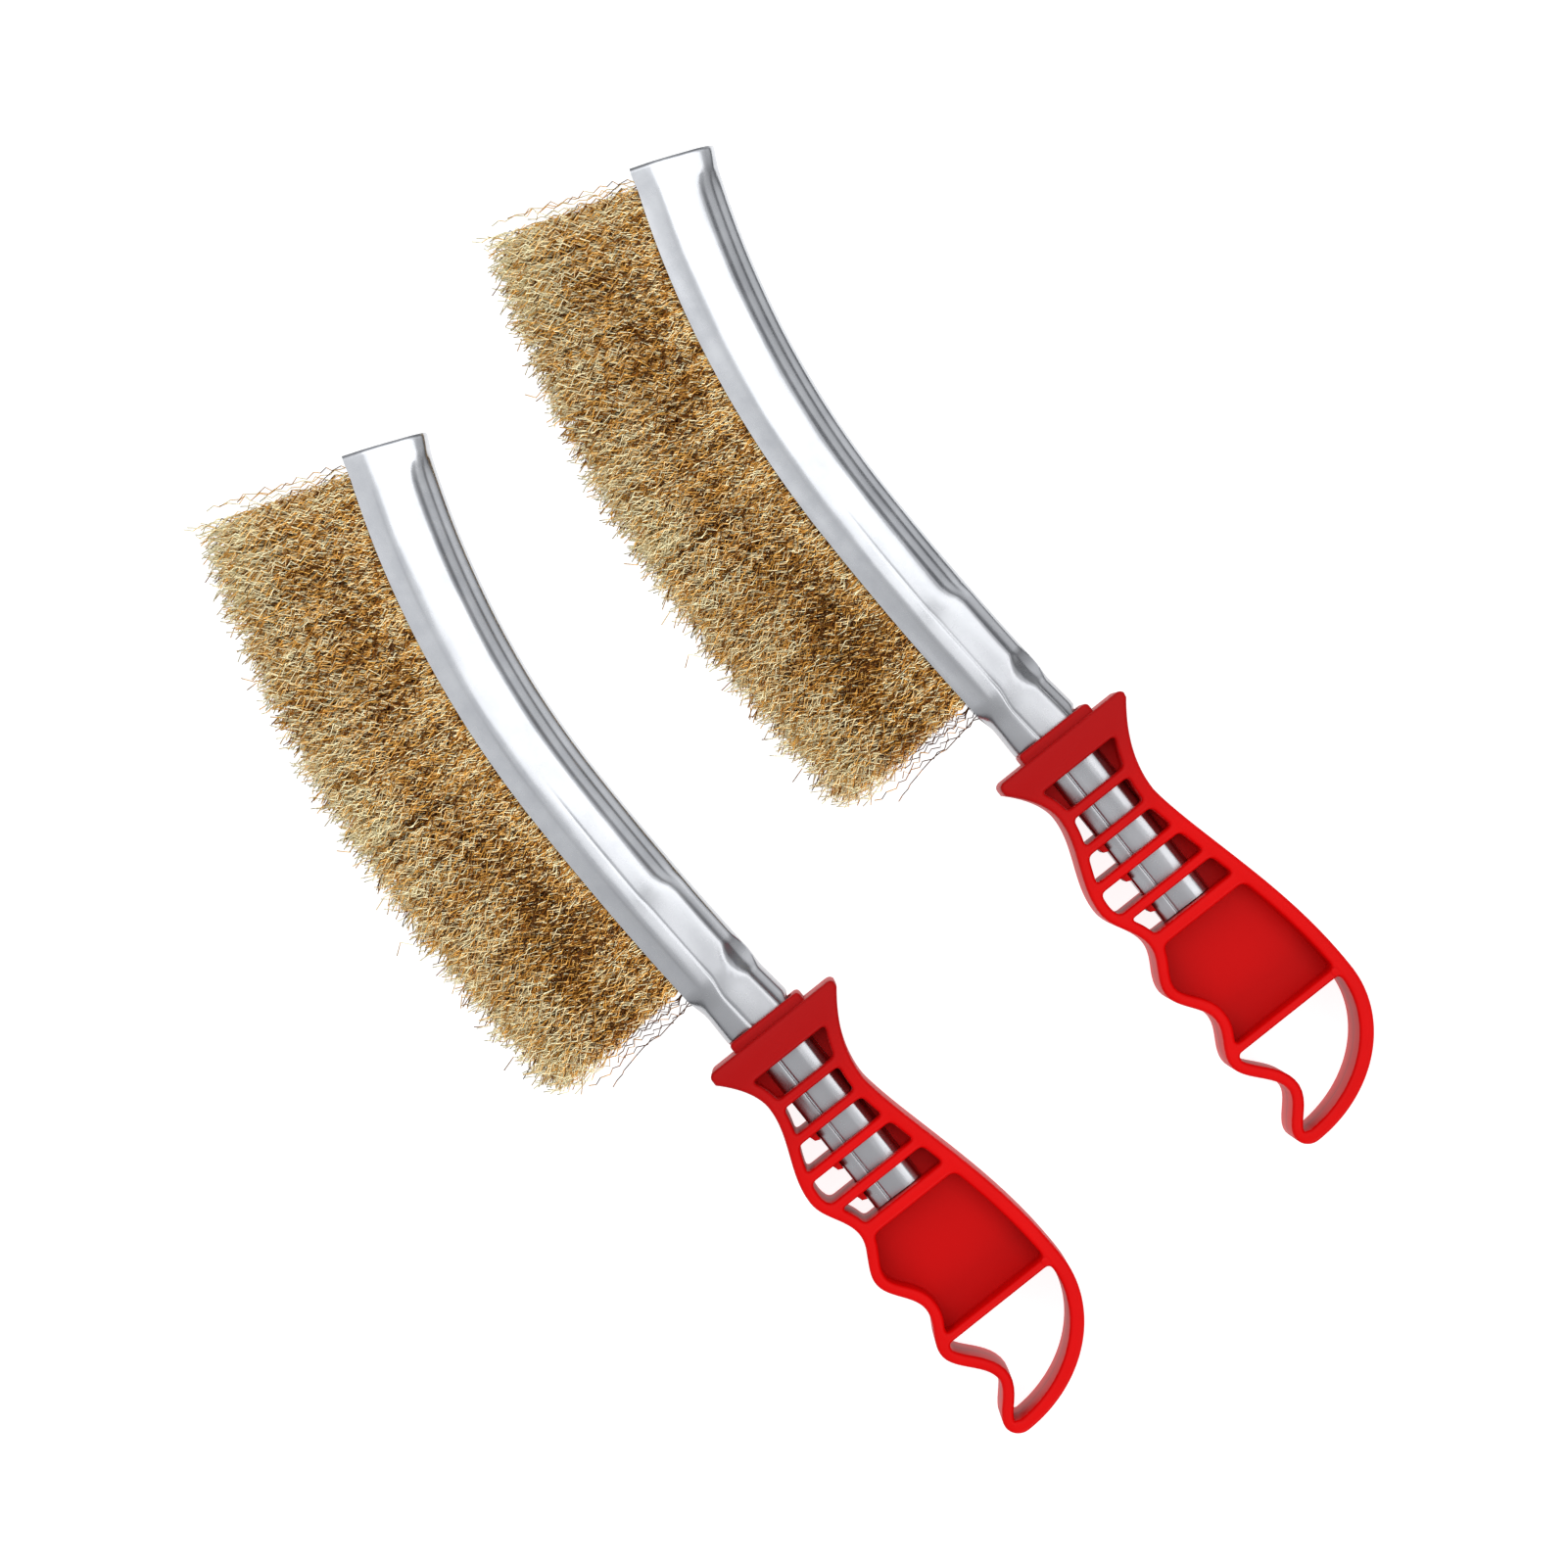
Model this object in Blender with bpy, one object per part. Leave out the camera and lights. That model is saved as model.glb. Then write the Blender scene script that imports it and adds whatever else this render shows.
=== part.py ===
"""A pair of hand wire scratch brushes with curved steel channels and moulded grips.

Both brushes lie on their sides on the floor. +X runs from the grips to the heads,
+Y is the side that the wires point to, and +Z is up. Each brush is drawn in its own
plane in millimetres, with x = 0 at the collar of the grip, and is then set down
beside the other one. Lengths handed to Blender are metres.
"""

import math

import bmesh
import bpy
from mathutils import Vector

MM = 0.001
COLLECTION = "wire_scratch_brush_pair"
CUTTERS = "cutters"

# ---------------------------------------------------------------- driving dimensions, mm
BRUSHES = {"a": (0.0, 0.0), "b": (10.2, -89.8)}
CLEAR = 0.3

# Grip
GRIP_THICK = 20.0
MID_Z = GRIP_THICK / 2
FINGER_RIM = 2.6
PALM_RIM = 3.3
WEB_THICK = 2.5
# Crests and valleys between the fingers, from the collar to the end of the grip
FINGER_WAVE = [(-12.0, 13.8), (-34.3, 19.7), (-46.5, 15.5), (-57.2, 19.5),
               (-68.5, 14.3), (-78.5, 18.0), (-90.5, 11.3), (-99.8, 16.8)]
GUARD_TOP = 19.9
GUARD_BOTTOM = -15.0
GUARD_FRONT = 1.8
GUARD_BACK = -5.4
WAIST = (-20.0, -6.75)
HEEL = (-78.0, -16.6)
END_X = -103.4
COLLAR = (-7.2, 12.2, 4.2)
COLLAR_THICK = 16.0
LOOP_WALL = -77.6
PANEL = (-75.6, -48.4)
WINDOWS = [(-45.3, -39.6), (-37.3, -31.0), (-28.7, -22.8), (-20.6, -14.4), (-12.1, GUARD_BACK)]

# Steel channel: its middle line, then its section
TANG_START = -45.0
TANG_END = -3.0
TANG_Y = 3.1
HEAD_START = 20.0
CROWN = (70.0, 6.8)
RADIUS_BEFORE = 760.0
RADIUS_AFTER = 226.5
HEAD_ARC_DEG = 22.45
SHEET = 0.9
TANG_HALF = 6.4
NECK_HALF = 7.9
HEAD_HALF = 8.5
TIP_HALF = 9.3
TIP_FLARE = 6.0
# Half sections from lip to back: (share of the half width, half thickness)
HEAD_SECTION = [(1.0, 3.4), (0.92, 3.8), (0.51, 4.75), (0.3, 5.3), (0.0, 5.5), (-0.42, 5.2),
                (-0.6, 4.6), (-0.67, 3.8), (-0.86, 3.3), (-0.97, 2.0)]
TANG_SECTION = [(1.0, 0.15), (0.97, 2.2), (0.86, 3.9), (0.62, 4.8), (0.0, 5.0), (-0.42, 5.0),
                (-0.62, 4.8), (-0.77, 4.3), (-0.9, 3.4), (-0.98, 1.8)]

# Wires: the clamped root, the core wire that they fold over, and the free tufts
ROOT_SECTION = [(6.8, 2.6), (4.0, 3.4), (0.5, 4.0), (-1.6, 3.5), (-2.5, 1.6)]
CORE_RADIUS = 1.0
CORE_BORE = 1.7
CORE_SIDES = 8
CORE_N = 0.4
ROOT_START = 21.0
TUFT_COUNT = 12
TUFT_START = 20.6
TUFT_END_DEG = 21.2
TUFT_GAP = 0.4
TUFT_BELOW = 0.2
TUFT_LENGTH = 34.5
TUFT_ROOT_HALF = 2.0
TUFT_TIP_HALF = 9.4

COLOURS = {"grip": (0.60, 0.006, 0.008), "channel": (0.74, 0.75, 0.77),
           "wire": (0.55, 0.33, 0.11), "core": (0.45, 0.45, 0.46)}


# ---------------------------------------------------------------- scene
def clear_scene():
    """Empty the scene of objects."""
    for obj in list(bpy.data.objects):
        bpy.data.objects.remove(obj, do_unlink=True)


def make_collection(name):
    """A new collection under the scene's own."""
    collection = bpy.data.collections.new(name)
    bpy.context.scene.collection.children.link(collection)
    return collection


def make_material(name, colour, roughness, metallic):
    """A Principled material."""
    material = bpy.data.materials.new(name)
    material.use_nodes = True
    shader = material.node_tree.nodes["Principled BSDF"]
    shader.inputs["Base Color"].default_value = (*colour, 1.0)
    shader.inputs["Roughness"].default_value = roughness
    shader.inputs["Metallic"].default_value = metallic
    return material


def mesh_object(name, bm, collection, origin=(0.0, 0.0, 0.0)):
    """Turn a bmesh in millimetres into an object in metres with its origin at origin."""
    bmesh.ops.recalc_face_normals(bm, faces=bm.faces)
    mesh = bpy.data.meshes.new(name)
    for vert in bm.verts:
        vert.co = (vert.co - Vector(origin)) * MM
    bm.to_mesh(mesh)
    bm.free()
    obj = bpy.data.objects.new(name, mesh)
    obj.location = Vector(origin) * MM
    collection.objects.link(obj)
    return obj


def shade_round(obj, angle_deg):
    """Smooth shading with sharp edges above the angle."""
    obj.data.shade_smooth()
    obj.data.set_sharp_from_angle(angle=math.radians(angle_deg))


# ---------------------------------------------------------------- lofts
def skin(bm, rings, closed=True):
    """Join rings of equal length with quads."""
    last = len(rings[0]) if closed else len(rings[0]) - 1
    for ring, following in zip(rings, rings[1:]):
        for i in range(last):
            j = (i + 1) % len(ring)
            bm.faces.new((ring[i], ring[j], following[j], following[i]))


def cap_between(bm, outer, inner, closed):
    """Close the wall between two lines of equal length."""
    last = len(outer) if closed else len(outer) - 1
    for i in range(last):
        j = (i + 1) % len(outer)
        bm.faces.new((outer[i], outer[j], inner[j], inner[i]))


def loft_solid(rings):
    """A solid loft through rings of points."""
    bm = bmesh.new()
    verts = [[bm.verts.new(point) for point in ring] for ring in rings]
    skin(bm, verts)
    bm.faces.new(verts[0])
    bm.faces.new(verts[-1])
    return bm


def loft_wall(outers, inners, closed):
    """A loft with a wall: outer and inner lines of equal length at each station."""
    bm = bmesh.new()
    outer = [[bm.verts.new(point) for point in line] for line in outers]
    inner = [[bm.verts.new(point) for point in line] for line in inners]
    if closed:
        skin(bm, outer)
        skin(bm, inner)
    else:
        skin(bm, [line + turned[::-1] for line, turned in zip(outer, inner)])
    cap_between(bm, outer[0], inner[0], closed)
    cap_between(bm, outer[-1], inner[-1], closed)
    return bm


# ---------------------------------------------------------------- the channel's middle line
def smooth(t):
    """Ease from 0 to 1."""
    t = min(max(t, 0.0), 1.0)
    return t * t * (3 - 2 * t)


def middle_before(x):
    """Point and slope angle of the middle line up to the crown."""
    start_y = CROWN[1] - (CROWN[0] - HEAD_START) ** 2 / (2 * RADIUS_BEFORE)
    start_slope = (CROWN[0] - HEAD_START) / RADIUS_BEFORE
    if x <= TANG_END:
        return (x, TANG_Y), 0.0
    if x >= HEAD_START:
        fall = CROWN[0] - x
        return (x, CROWN[1] - fall ** 2 / (2 * RADIUS_BEFORE)), math.atan(fall / RADIUS_BEFORE)
    run = HEAD_START - TANG_END
    t = (x - TANG_END) / run
    rise = start_y - TANG_Y
    y = TANG_Y + rise * t * t * (3 - 2 * t) + run * start_slope * t * t * (t - 1)
    slope = (rise * 6 * t * (1 - t) + run * start_slope * (3 * t * t - 2 * t)) / run
    return (x, y), math.atan(slope)


def middle_after(angle_deg):
    """Point and slope angle of the middle line past the crown, by arc angle."""
    angle = math.radians(angle_deg)
    x = CROWN[0] + RADIUS_AFTER * math.sin(angle)
    y = CROWN[1] - RADIUS_AFTER * (1 - math.cos(angle))
    return (x, y), -angle


def middle_at(station):
    """Middle line at a station: x up to the crown, arc length beyond it."""
    if station <= CROWN[0]:
        return middle_before(station)
    return middle_after(math.degrees((station - CROWN[0]) / RADIUS_AFTER))


def arc_station(angle_deg):
    """Station of an arc angle past the crown."""
    return CROWN[0] + RADIUS_AFTER * math.radians(angle_deg)


def to_plane(station, n, w):
    """Place (n across the channel, w through its thickness) at a station."""
    (x, y), angle = middle_at(station)
    return Vector((x - n * math.sin(angle), y + n * math.cos(angle), MID_Z + w))


def spread(start, end, step):
    """Evenly spaced stations no further apart than step."""
    count = max(1, math.ceil((end - start) / step))
    return [start + (end - start) * i / count for i in range(count + 1)]


# ---------------------------------------------------------------- channel
def half_width(station):
    """Half of the channel's width in the plane of the brush."""
    neck = TANG_HALF + (NECK_HALF - TANG_HALF) * smooth((station - TANG_END) / 4.0)
    head = neck + (HEAD_HALF - NECK_HALF) * smooth((station - 10.0) / 10.0)
    tip = arc_station(HEAD_ARC_DEG)
    grow = 0.35 * smooth((station - CROWN[0]) / (tip - CROWN[0]))
    flare = (TIP_HALF - HEAD_HALF - 0.35) * smooth((station - tip + TIP_FLARE) / TIP_FLARE)
    return head + grow + flare


def outer_line(station):
    """The channel's outer line, from one lip round the back to the other."""
    opened = smooth((station - 4.0) / (HEAD_START - 4.0))
    half = half_width(station)
    side = []
    for (tang_n, tang_w), (head_n, head_w) in zip(TANG_SECTION, HEAD_SECTION):
        n = (tang_n + (head_n - tang_n) * opened) * half
        w = tang_w + (head_w - tang_w) * opened
        side.append((n, w))
    back = [(-half, 0.0)]
    return side + back + [(n, -w) for n, w in reversed(side)]


def inset_line(line, depth):
    """The same open line moved inwards by the sheet's thickness."""
    moved = []
    for i, (n, w) in enumerate(line):
        before = line[max(i - 1, 0)]
        after = line[min(i + 1, len(line) - 1)]
        along = Vector((after[0] - before[0], after[1] - before[1])).normalized()
        moved.append((n - along.y * depth, w + along.x * depth))
    return moved


def build_channel(tag, collection, material):
    """Folded sheet: a closed tang that opens into the curved channel."""
    stations = [TANG_START, TANG_START / 2, TANG_END, -1.7, -0.3, 1.0, 4.0, 7.0, 9.5, 12.0,
                14.5, 17.0, HEAD_START]
    stations += spread(HEAD_START, CROWN[0], 10.0)[1:]
    tip = arc_station(HEAD_ARC_DEG)
    stations += spread(CROWN[0], tip - TIP_FLARE, 8.0)[1:]
    stations += spread(tip - TIP_FLARE, tip, 2.0)[1:]
    outers = []
    inners = []
    for station in stations:
        line = outer_line(station)
        inner = inset_line(line, SHEET)
        outers.append([to_plane(station, n, w) for n, w in line])
        inners.append([to_plane(station, n, w) for n, w in inner])
    channel = mesh_object(f"channel_{tag}", loft_wall(outers, inners, closed=False), collection)
    channel.data.materials.append(material)
    shade_round(channel, 40)
    return channel


# ---------------------------------------------------------------- wires
def build_root(tag, collection, material):
    """The folded ends of the wires, clamped in the channel around the core wire."""
    end = arc_station(TUFT_END_DEG)
    stations = spread(ROOT_START, CROWN[0], 12.0)
    stations += spread(CROWN[0], end, 9.0)[1:]
    line = ROOT_SECTION + [(n, -w) for n, w in reversed(ROOT_SECTION)]
    hole = []
    for n, w in line:
        reach = math.hypot(n - CORE_N, w)
        hole.append((CORE_N + (n - CORE_N) * CORE_BORE / reach, w * CORE_BORE / reach))
    outers = [[to_plane(s, n, w) for n, w in line] for s in stations]
    inners = [[to_plane(s, n, w) for n, w in hole] for s in stations]
    root = mesh_object(f"wire_root_{tag}", loft_wall(outers, inners, closed=True), collection)
    root.data.materials.append(material)
    return root


def build_core(tag, collection, material):
    """The core wire, a rod that follows the channel."""
    end = arc_station(TUFT_END_DEG) + 0.5
    stations = spread(ROOT_START - 0.5, CROWN[0], 12.0)
    stations += spread(CROWN[0], end, 9.0)[1:]
    rings = []
    for s in stations:
        ring = []
        for i in range(CORE_SIDES):
            turn = 2 * math.pi * (i + 0.5) / CORE_SIDES
            ring.append(to_plane(s, CORE_N + CORE_RADIUS * math.cos(turn),
                                 CORE_RADIUS * math.sin(turn)))
        rings.append(ring)
    core = mesh_object(f"core_wire_{tag}", loft_solid(rings), collection)
    core.data.materials.append(material)
    shade_round(core, 50)
    return core


def tuft_pitch():
    """Stations from one tuft to the next, along the middle line."""
    return (arc_station(TUFT_END_DEG) - TUFT_START) / TUFT_COUNT


def build_tuft(tag, number, collection, material):
    """One bundle of free wires, a wedge that leans about its root at the channel's lips."""
    pitch = tuft_pitch()
    centre = TUFT_START + pitch * (number - 0.5)
    inner_n = HEAD_HALF - TUFT_BELOW
    outer_n = HEAD_HALF + TUFT_LENGTH
    rings = []
    for share in (-0.5, -0.17, 0.17, 0.5):
        station = centre + pitch * share
        gap = -math.copysign(TUFT_GAP / 2, share) if abs(share) == 0.5 else 0.0
        ring = []
        corners = [(inner_n, -TUFT_ROOT_HALF), (inner_n, TUFT_ROOT_HALF),
                   (outer_n, TUFT_TIP_HALF), (outer_n, -TUFT_TIP_HALF)]
        for n, w in corners:
            point = to_plane(station, n, w)
            (_, _), angle = middle_at(station)
            point.x += gap * math.cos(angle)
            point.y += gap * math.sin(angle)
            ring.append(point)
        rings.append(ring)
    pivot = to_plane(centre, HEAD_HALF, 0.0)
    name = f"tuft_{tag}_{number:02d}"
    tuft = mesh_object(name, loft_solid(rings), collection, origin=pivot)
    tuft.data.materials.append(material)
    return tuft


# ---------------------------------------------------------------- grip outline
def finger_side(x):
    """Height of the finger side over x."""
    first_x, first_y = FINGER_WAVE[0]
    if x >= first_x:
        t = (x - first_x) / -first_x
        return first_y + (GUARD_TOP - first_y) * min(t, 1.0) ** 1.9
    for (x0, y0), (x1, y1) in zip(FINGER_WAVE, FINGER_WAVE[1:]):
        if x >= x1:
            t = (x - x0) / (x1 - x0)
            return y0 + (y1 - y0) * (1 - math.cos(math.pi * t)) / 2
    return FINGER_WAVE[-1][1]


def palm_side(x):
    """Height of the palm side over x, from the guard to the heel."""
    if x >= WAIST[0]:
        t = min((x - WAIST[0]) / -WAIST[0], 1.0)
        return WAIST[1] + (GUARD_BOTTOM - WAIST[1]) * t ** 2
    t = (x - WAIST[0]) / (HEEL[0] - WAIST[0])
    return WAIST[1] + (HEEL[1] - WAIST[1]) * math.sin(t * math.pi / 2) ** 1.3


def quarter(centre, radii, start_deg, end_deg, steps):
    """Points of an elliptical arc."""
    points = []
    for i in range(steps + 1):
        angle = math.radians(start_deg + (end_deg - start_deg) * i / steps)
        points.append((centre[0] + radii[0] * math.cos(angle),
                       centre[1] + radii[1] * math.sin(angle)))
    return points


def grip_outline():
    """The grip's outline, anticlockwise from the bottom of the guard's front."""
    tip_x, tip_y = FINGER_WAVE[-1]
    crest = tip_y - 3.8
    points = [(GUARD_FRONT, GUARD_BOTTOM + 0.9), (GUARD_FRONT, GUARD_TOP - 0.9),
              (GUARD_FRONT - 0.9, GUARD_TOP)]
    points += [(x, finger_side(x)) for x in spread(tip_x, 0.0, 2.2)[::-1]]
    points += quarter((tip_x, crest), (tip_x - END_X, 3.8), 90, 180, 5)[1:]
    points += quarter((HEEL[0], crest), (HEEL[0] - END_X, crest - HEEL[1]), 180, 270, 14)[1:]
    points += [(x, palm_side(x)) for x in spread(HEEL[0], 0.0, 3.2)[1:]]
    points += [(GUARD_FRONT - 0.9, GUARD_BOTTOM)]
    return points


def inset_outline(points):
    """A closed anticlockwise outline moved inwards by the rim's thickness."""
    moved = []
    for i, (x, y) in enumerate(points):
        before = Vector(points[i - 1])
        after = Vector(points[(i + 1) % len(points)])
        along = (after - before).normalized()
        depth = FINGER_RIM + (PALM_RIM - FINGER_RIM) * smooth((along.x + 1) / 2)
        moved.append((x - along.y * depth, y + along.x * depth))
    return moved


def pocket(x_low, x_high, y_low=None, y_high=None, grow=0.0, step=2.6):
    """A pocket between two cross walls, bounded by the rim on both sides."""
    xs = spread(x_low - grow, x_high + grow, step)
    top = []
    bottom = []
    for x in xs:
        slope_top = (finger_side(x + 0.1) - finger_side(x - 0.1)) / 0.2
        slope_bottom = (palm_side(x + 0.1) - palm_side(x - 0.1)) / 0.2
        high = finger_side(x) - (FINGER_RIM - grow) * math.hypot(1, slope_top)
        low = palm_side(x) + (PALM_RIM - grow) * math.hypot(1, slope_bottom)
        top.append((x, high if y_high is None else min(high, y_high)))
        bottom.append((x, low if y_low is None else max(low, y_low)))
    return bottom + top[::-1]


def loop_hole():
    """The D-shaped hanging loop at the end of the grip."""
    inner = inset_outline(grip_outline())
    tip_x = FINGER_WAVE[-1][0]
    kept = [p for p in inner if p[0] < LOOP_WALL - 0.4]
    # The very tip turns tighter than the rim is thick, so its inner corner is one point
    kept = [p for p in kept if not (p[0] < tip_x and p[1] > 12.6)]
    top_y = finger_side(LOOP_WALL) - FINGER_RIM
    bottom_y = palm_side(HEEL[0]) + PALM_RIM
    return [(LOOP_WALL, bottom_y), (LOOP_WALL, top_y)] + kept


# ---------------------------------------------------------------- grip solids
def plate(name, outlines, z_low, z_high, collection):
    """A flat plate with holes: a filled 2D curve made into a closed mesh."""
    curve = bpy.data.curves.new(name, "CURVE")
    curve.dimensions = "2D"
    curve.fill_mode = "BOTH"
    curve.extrude = (z_high - z_low) / 2 * MM
    for outline in outlines:
        spline = curve.splines.new("POLY")
        spline.points.add(len(outline) - 1)
        for point, (x, y) in zip(spline.points, outline):
            point.co = (x * MM, y * MM, 0.0, 1.0)
        spline.use_cyclic_u = True
    drawn = bpy.data.objects.new(name, curve)
    drawn.location = (0.0, 0.0, (z_low + z_high) / 2 * MM)
    bpy.context.scene.collection.objects.link(drawn)
    bpy.context.view_layer.update()
    depsgraph = bpy.context.evaluated_depsgraph_get()
    mesh = bpy.data.meshes.new_from_object(drawn.evaluated_get(depsgraph))
    mesh.transform(drawn.matrix_world)
    bpy.data.objects.remove(drawn, do_unlink=True)
    bm = bmesh.new()
    bm.from_mesh(mesh)
    bmesh.ops.remove_doubles(bm, verts=bm.verts, dist=0.00001)
    bmesh.ops.recalc_face_normals(bm, faces=bm.faces)
    bm.to_mesh(mesh)
    bm.free()
    obj = bpy.data.objects.new(name, mesh)
    collection.objects.link(obj)
    return obj


def tunnel(name, x_low, x_high, half_y, half_z, collection):
    """A cutter with rounded corners for the tang, along X."""
    corner = 2.0
    rings = []
    for x in (x_low, x_high):
        ring = []
        for sign_y, sign_z, start in ((1, 1, 0), (-1, 1, 90), (-1, -1, 180), (1, -1, 270)):
            centre = (sign_y * (half_y - corner), sign_z * (half_z - corner))
            for y, z in quarter(centre, (corner, corner), start, start + 90, 3):
                ring.append((x, TANG_Y + y, MID_Z + z))
        rings.append(ring)
    cutter = mesh_object(name, loft_solid(rings), collection)
    cutter.hide_render = True
    cutter.display_type = "WIRE"
    return cutter


def add_boolean(obj, other, operation):
    """Add an exact Boolean modifier."""
    modifier = obj.modifiers.new(f"{operation.lower()}_{other.name}", "BOOLEAN")
    modifier.solver = "EXACT"
    modifier.operation = operation
    modifier.object = other


def build_grip(tag, collection, cutters, material):
    """The moulded grip: rim, cross ribs, webs, guard and collar in one piece."""
    holes = [loop_hole(), pocket(*PANEL)] + [pocket(low, high) for low, high in WINDOWS]
    grip = plate(f"grip_{tag}", [grip_outline()] + holes, 0.0, GRIP_THICK, collection)
    web_low = MID_Z - WEB_THICK / 2
    web_high = MID_Z + WEB_THICK / 2
    webs = [pocket(*PANEL, grow=0.8)]
    webs += [pocket(low, high, y_high=TANG_Y - 5.0, grow=0.8) for low, high in WINDOWS]
    low, high = WINDOWS[-1]
    webs.append(pocket(low, high, y_low=TANG_Y + 5.0, grow=0.8))
    for number, outline in enumerate(webs):
        web = plate(f"web_{tag}_{number}", [outline], web_low, web_high, cutters)
        web.hide_render = True
        web.display_type = "WIRE"
        add_boolean(grip, web, "UNION")
    low, high, front = COLLAR
    lip = [(0.4, low), (front - 0.8, low), (front, low + 0.8), (front, high - 0.8),
           (front - 0.8, high), (0.4, high)]
    collar = plate(f"collar_{tag}", [lip], MID_Z - COLLAR_THICK / 2, MID_Z + COLLAR_THICK / 2,
                   cutters)
    collar.hide_render = True
    collar.display_type = "WIRE"
    add_boolean(grip, collar, "UNION")
    bore = tunnel(f"tang_bore_{tag}", TANG_START - CLEAR, GUARD_BACK + 2.5,
                  TANG_HALF + CLEAR, 5.0 + CLEAR, cutters)
    mouth = tunnel(f"neck_bore_{tag}", GUARD_BACK + 2.0, front + 1.0,
                   NECK_HALF + 2 * CLEAR, 5.0 + CLEAR, cutters)
    add_boolean(grip, bore, "DIFFERENCE")
    add_boolean(grip, mouth, "DIFFERENCE")
    grip.data.materials.clear()
    grip.data.materials.append(material)
    return grip


# ---------------------------------------------------------------- assembly
def build_brush(tag, collection, cutters):
    """One whole brush in its own plane."""
    steel = make_material(f"bright_steel_{tag}", COLOURS["channel"], 0.28, 1.0)
    plastic = make_material(f"red_plastic_{tag}", COLOURS["grip"], 0.35, 0.0)
    brass = make_material(f"brassed_wire_{tag}", COLOURS["wire"], 0.4, 1.0)
    plain = make_material(f"plain_wire_{tag}", COLOURS["core"], 0.45, 1.0)
    build_grip(tag, collection, cutters, plastic)
    build_channel(tag, collection, steel)
    build_core(tag, collection, plain)
    build_root(tag, collection, brass)
    for number in range(1, TUFT_COUNT + 1):
        build_tuft(tag, number, collection, brass)


def move_objects(objects, offset):
    """Move objects across the floor by an offset in millimetres."""
    for obj in objects:
        obj.location.x += offset[0] * MM
        obj.location.y += offset[1] * MM


def centre_on_floor(collection):
    """Move everything so that the pair's footprint is centred on the origin."""
    bpy.context.view_layer.update()
    depsgraph = bpy.context.evaluated_depsgraph_get()
    corners = []
    for obj in collection.objects:
        seen = obj.evaluated_get(depsgraph)
        corners += [seen.matrix_world @ Vector(corner) for corner in seen.bound_box]
    middle_x = (min(c.x for c in corners) + max(c.x for c in corners)) / 2
    middle_y = (min(c.y for c in corners) + max(c.y for c in corners)) / 2
    move_objects(bpy.data.objects, (-middle_x / MM, -middle_y / MM))


def main():
    """Build the pair of brushes."""
    clear_scene()
    collection = make_collection(COLLECTION)
    cutters = make_collection(CUTTERS)
    for tag, offset in BRUSHES.items():
        placed = set(bpy.data.objects)
        build_brush(tag, collection, cutters)
        move_objects(set(bpy.data.objects) - placed, offset)
    centre_on_floor(collection)


main()
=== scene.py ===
"""Two hand wire scratch brushes lying on their sides in a plain studio.

Every brush is drawn in its own plane in millimetres: x runs from the grip to the head,
y points the way the wires point, and z is the height above the floor. The place of a
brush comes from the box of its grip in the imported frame.
"""
import logging
import math
from collections.abc import Callable, Sequence
from dataclasses import dataclass, field
from enum import Enum

import bpy
import numpy as np
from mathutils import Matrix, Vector


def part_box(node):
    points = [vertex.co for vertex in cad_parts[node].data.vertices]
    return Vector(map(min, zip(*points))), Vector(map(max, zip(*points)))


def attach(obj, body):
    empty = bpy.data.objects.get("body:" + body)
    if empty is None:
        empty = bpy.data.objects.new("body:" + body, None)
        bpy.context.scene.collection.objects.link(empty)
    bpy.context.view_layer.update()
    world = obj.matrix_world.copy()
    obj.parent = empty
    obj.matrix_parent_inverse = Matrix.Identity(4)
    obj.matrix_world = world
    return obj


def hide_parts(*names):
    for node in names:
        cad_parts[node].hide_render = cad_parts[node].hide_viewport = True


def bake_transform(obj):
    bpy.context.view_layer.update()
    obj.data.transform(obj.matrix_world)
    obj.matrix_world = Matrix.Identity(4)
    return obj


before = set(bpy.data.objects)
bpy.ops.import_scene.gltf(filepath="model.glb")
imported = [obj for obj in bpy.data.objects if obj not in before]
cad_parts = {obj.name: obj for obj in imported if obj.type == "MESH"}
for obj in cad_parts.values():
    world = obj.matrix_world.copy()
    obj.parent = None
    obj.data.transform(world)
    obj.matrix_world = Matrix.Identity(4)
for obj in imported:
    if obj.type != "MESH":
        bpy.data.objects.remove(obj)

logging.basicConfig(level=logging.INFO, format="%(name)s: %(message)s")
LOG = logging.getLogger("scratch_brushes")

MM = 0.001
Point = tuple[float, float]
Stops = Sequence[tuple[float, str]]
Socket = bpy.types.NodeSocket


class Brush(Enum):
    """The two brushes of the pair."""

    FIRST = "a"
    SECOND = "b"


# ------------------------ helpers
def linear(hex_code: str) -> tuple[float, float, float, float]:
    """Turn an sRGB hex colour into linear RGBA.

    Args:
        hex_code: Six hexadecimal digits.

    Returns:
        Linear red, green, blue and an alpha of one.
    """
    channels = [int(hex_code[i:i + 2], 16) / 255 for i in (0, 2, 4)]
    return (*[c / 12.92 if c <= 0.04045 else ((c + 0.055) / 1.055) ** 2.4 for c in channels], 1.0)


def smooth(t: float) -> float:
    """Ease from 0 to 1 between 0 and 1."""
    t = min(max(t, 0.0), 1.0)
    return t * t * (3 - 2 * t)


def spread(start: float, end: float, step: float) -> list[float]:
    """Evenly spaced values from start to end, no further apart than step."""
    count = max(1, math.ceil(abs(end - start) / step))
    return [start + (end - start) * i / count for i in range(count + 1)]


def in_metres(limits_mm: Point, zero: float = 0.0) -> Point:
    """Two limits in metres, counted from a zero in metres."""
    return zero + limits_mm[0] * MM, zero + limits_mm[1] * MM


def deselect_all() -> None:
    """Leave object mode with nothing selected."""
    if bpy.context.object and bpy.context.object.mode != "OBJECT":
        bpy.ops.object.mode_set(mode="OBJECT")
    bpy.ops.object.select_all(action="DESELECT")


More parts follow.
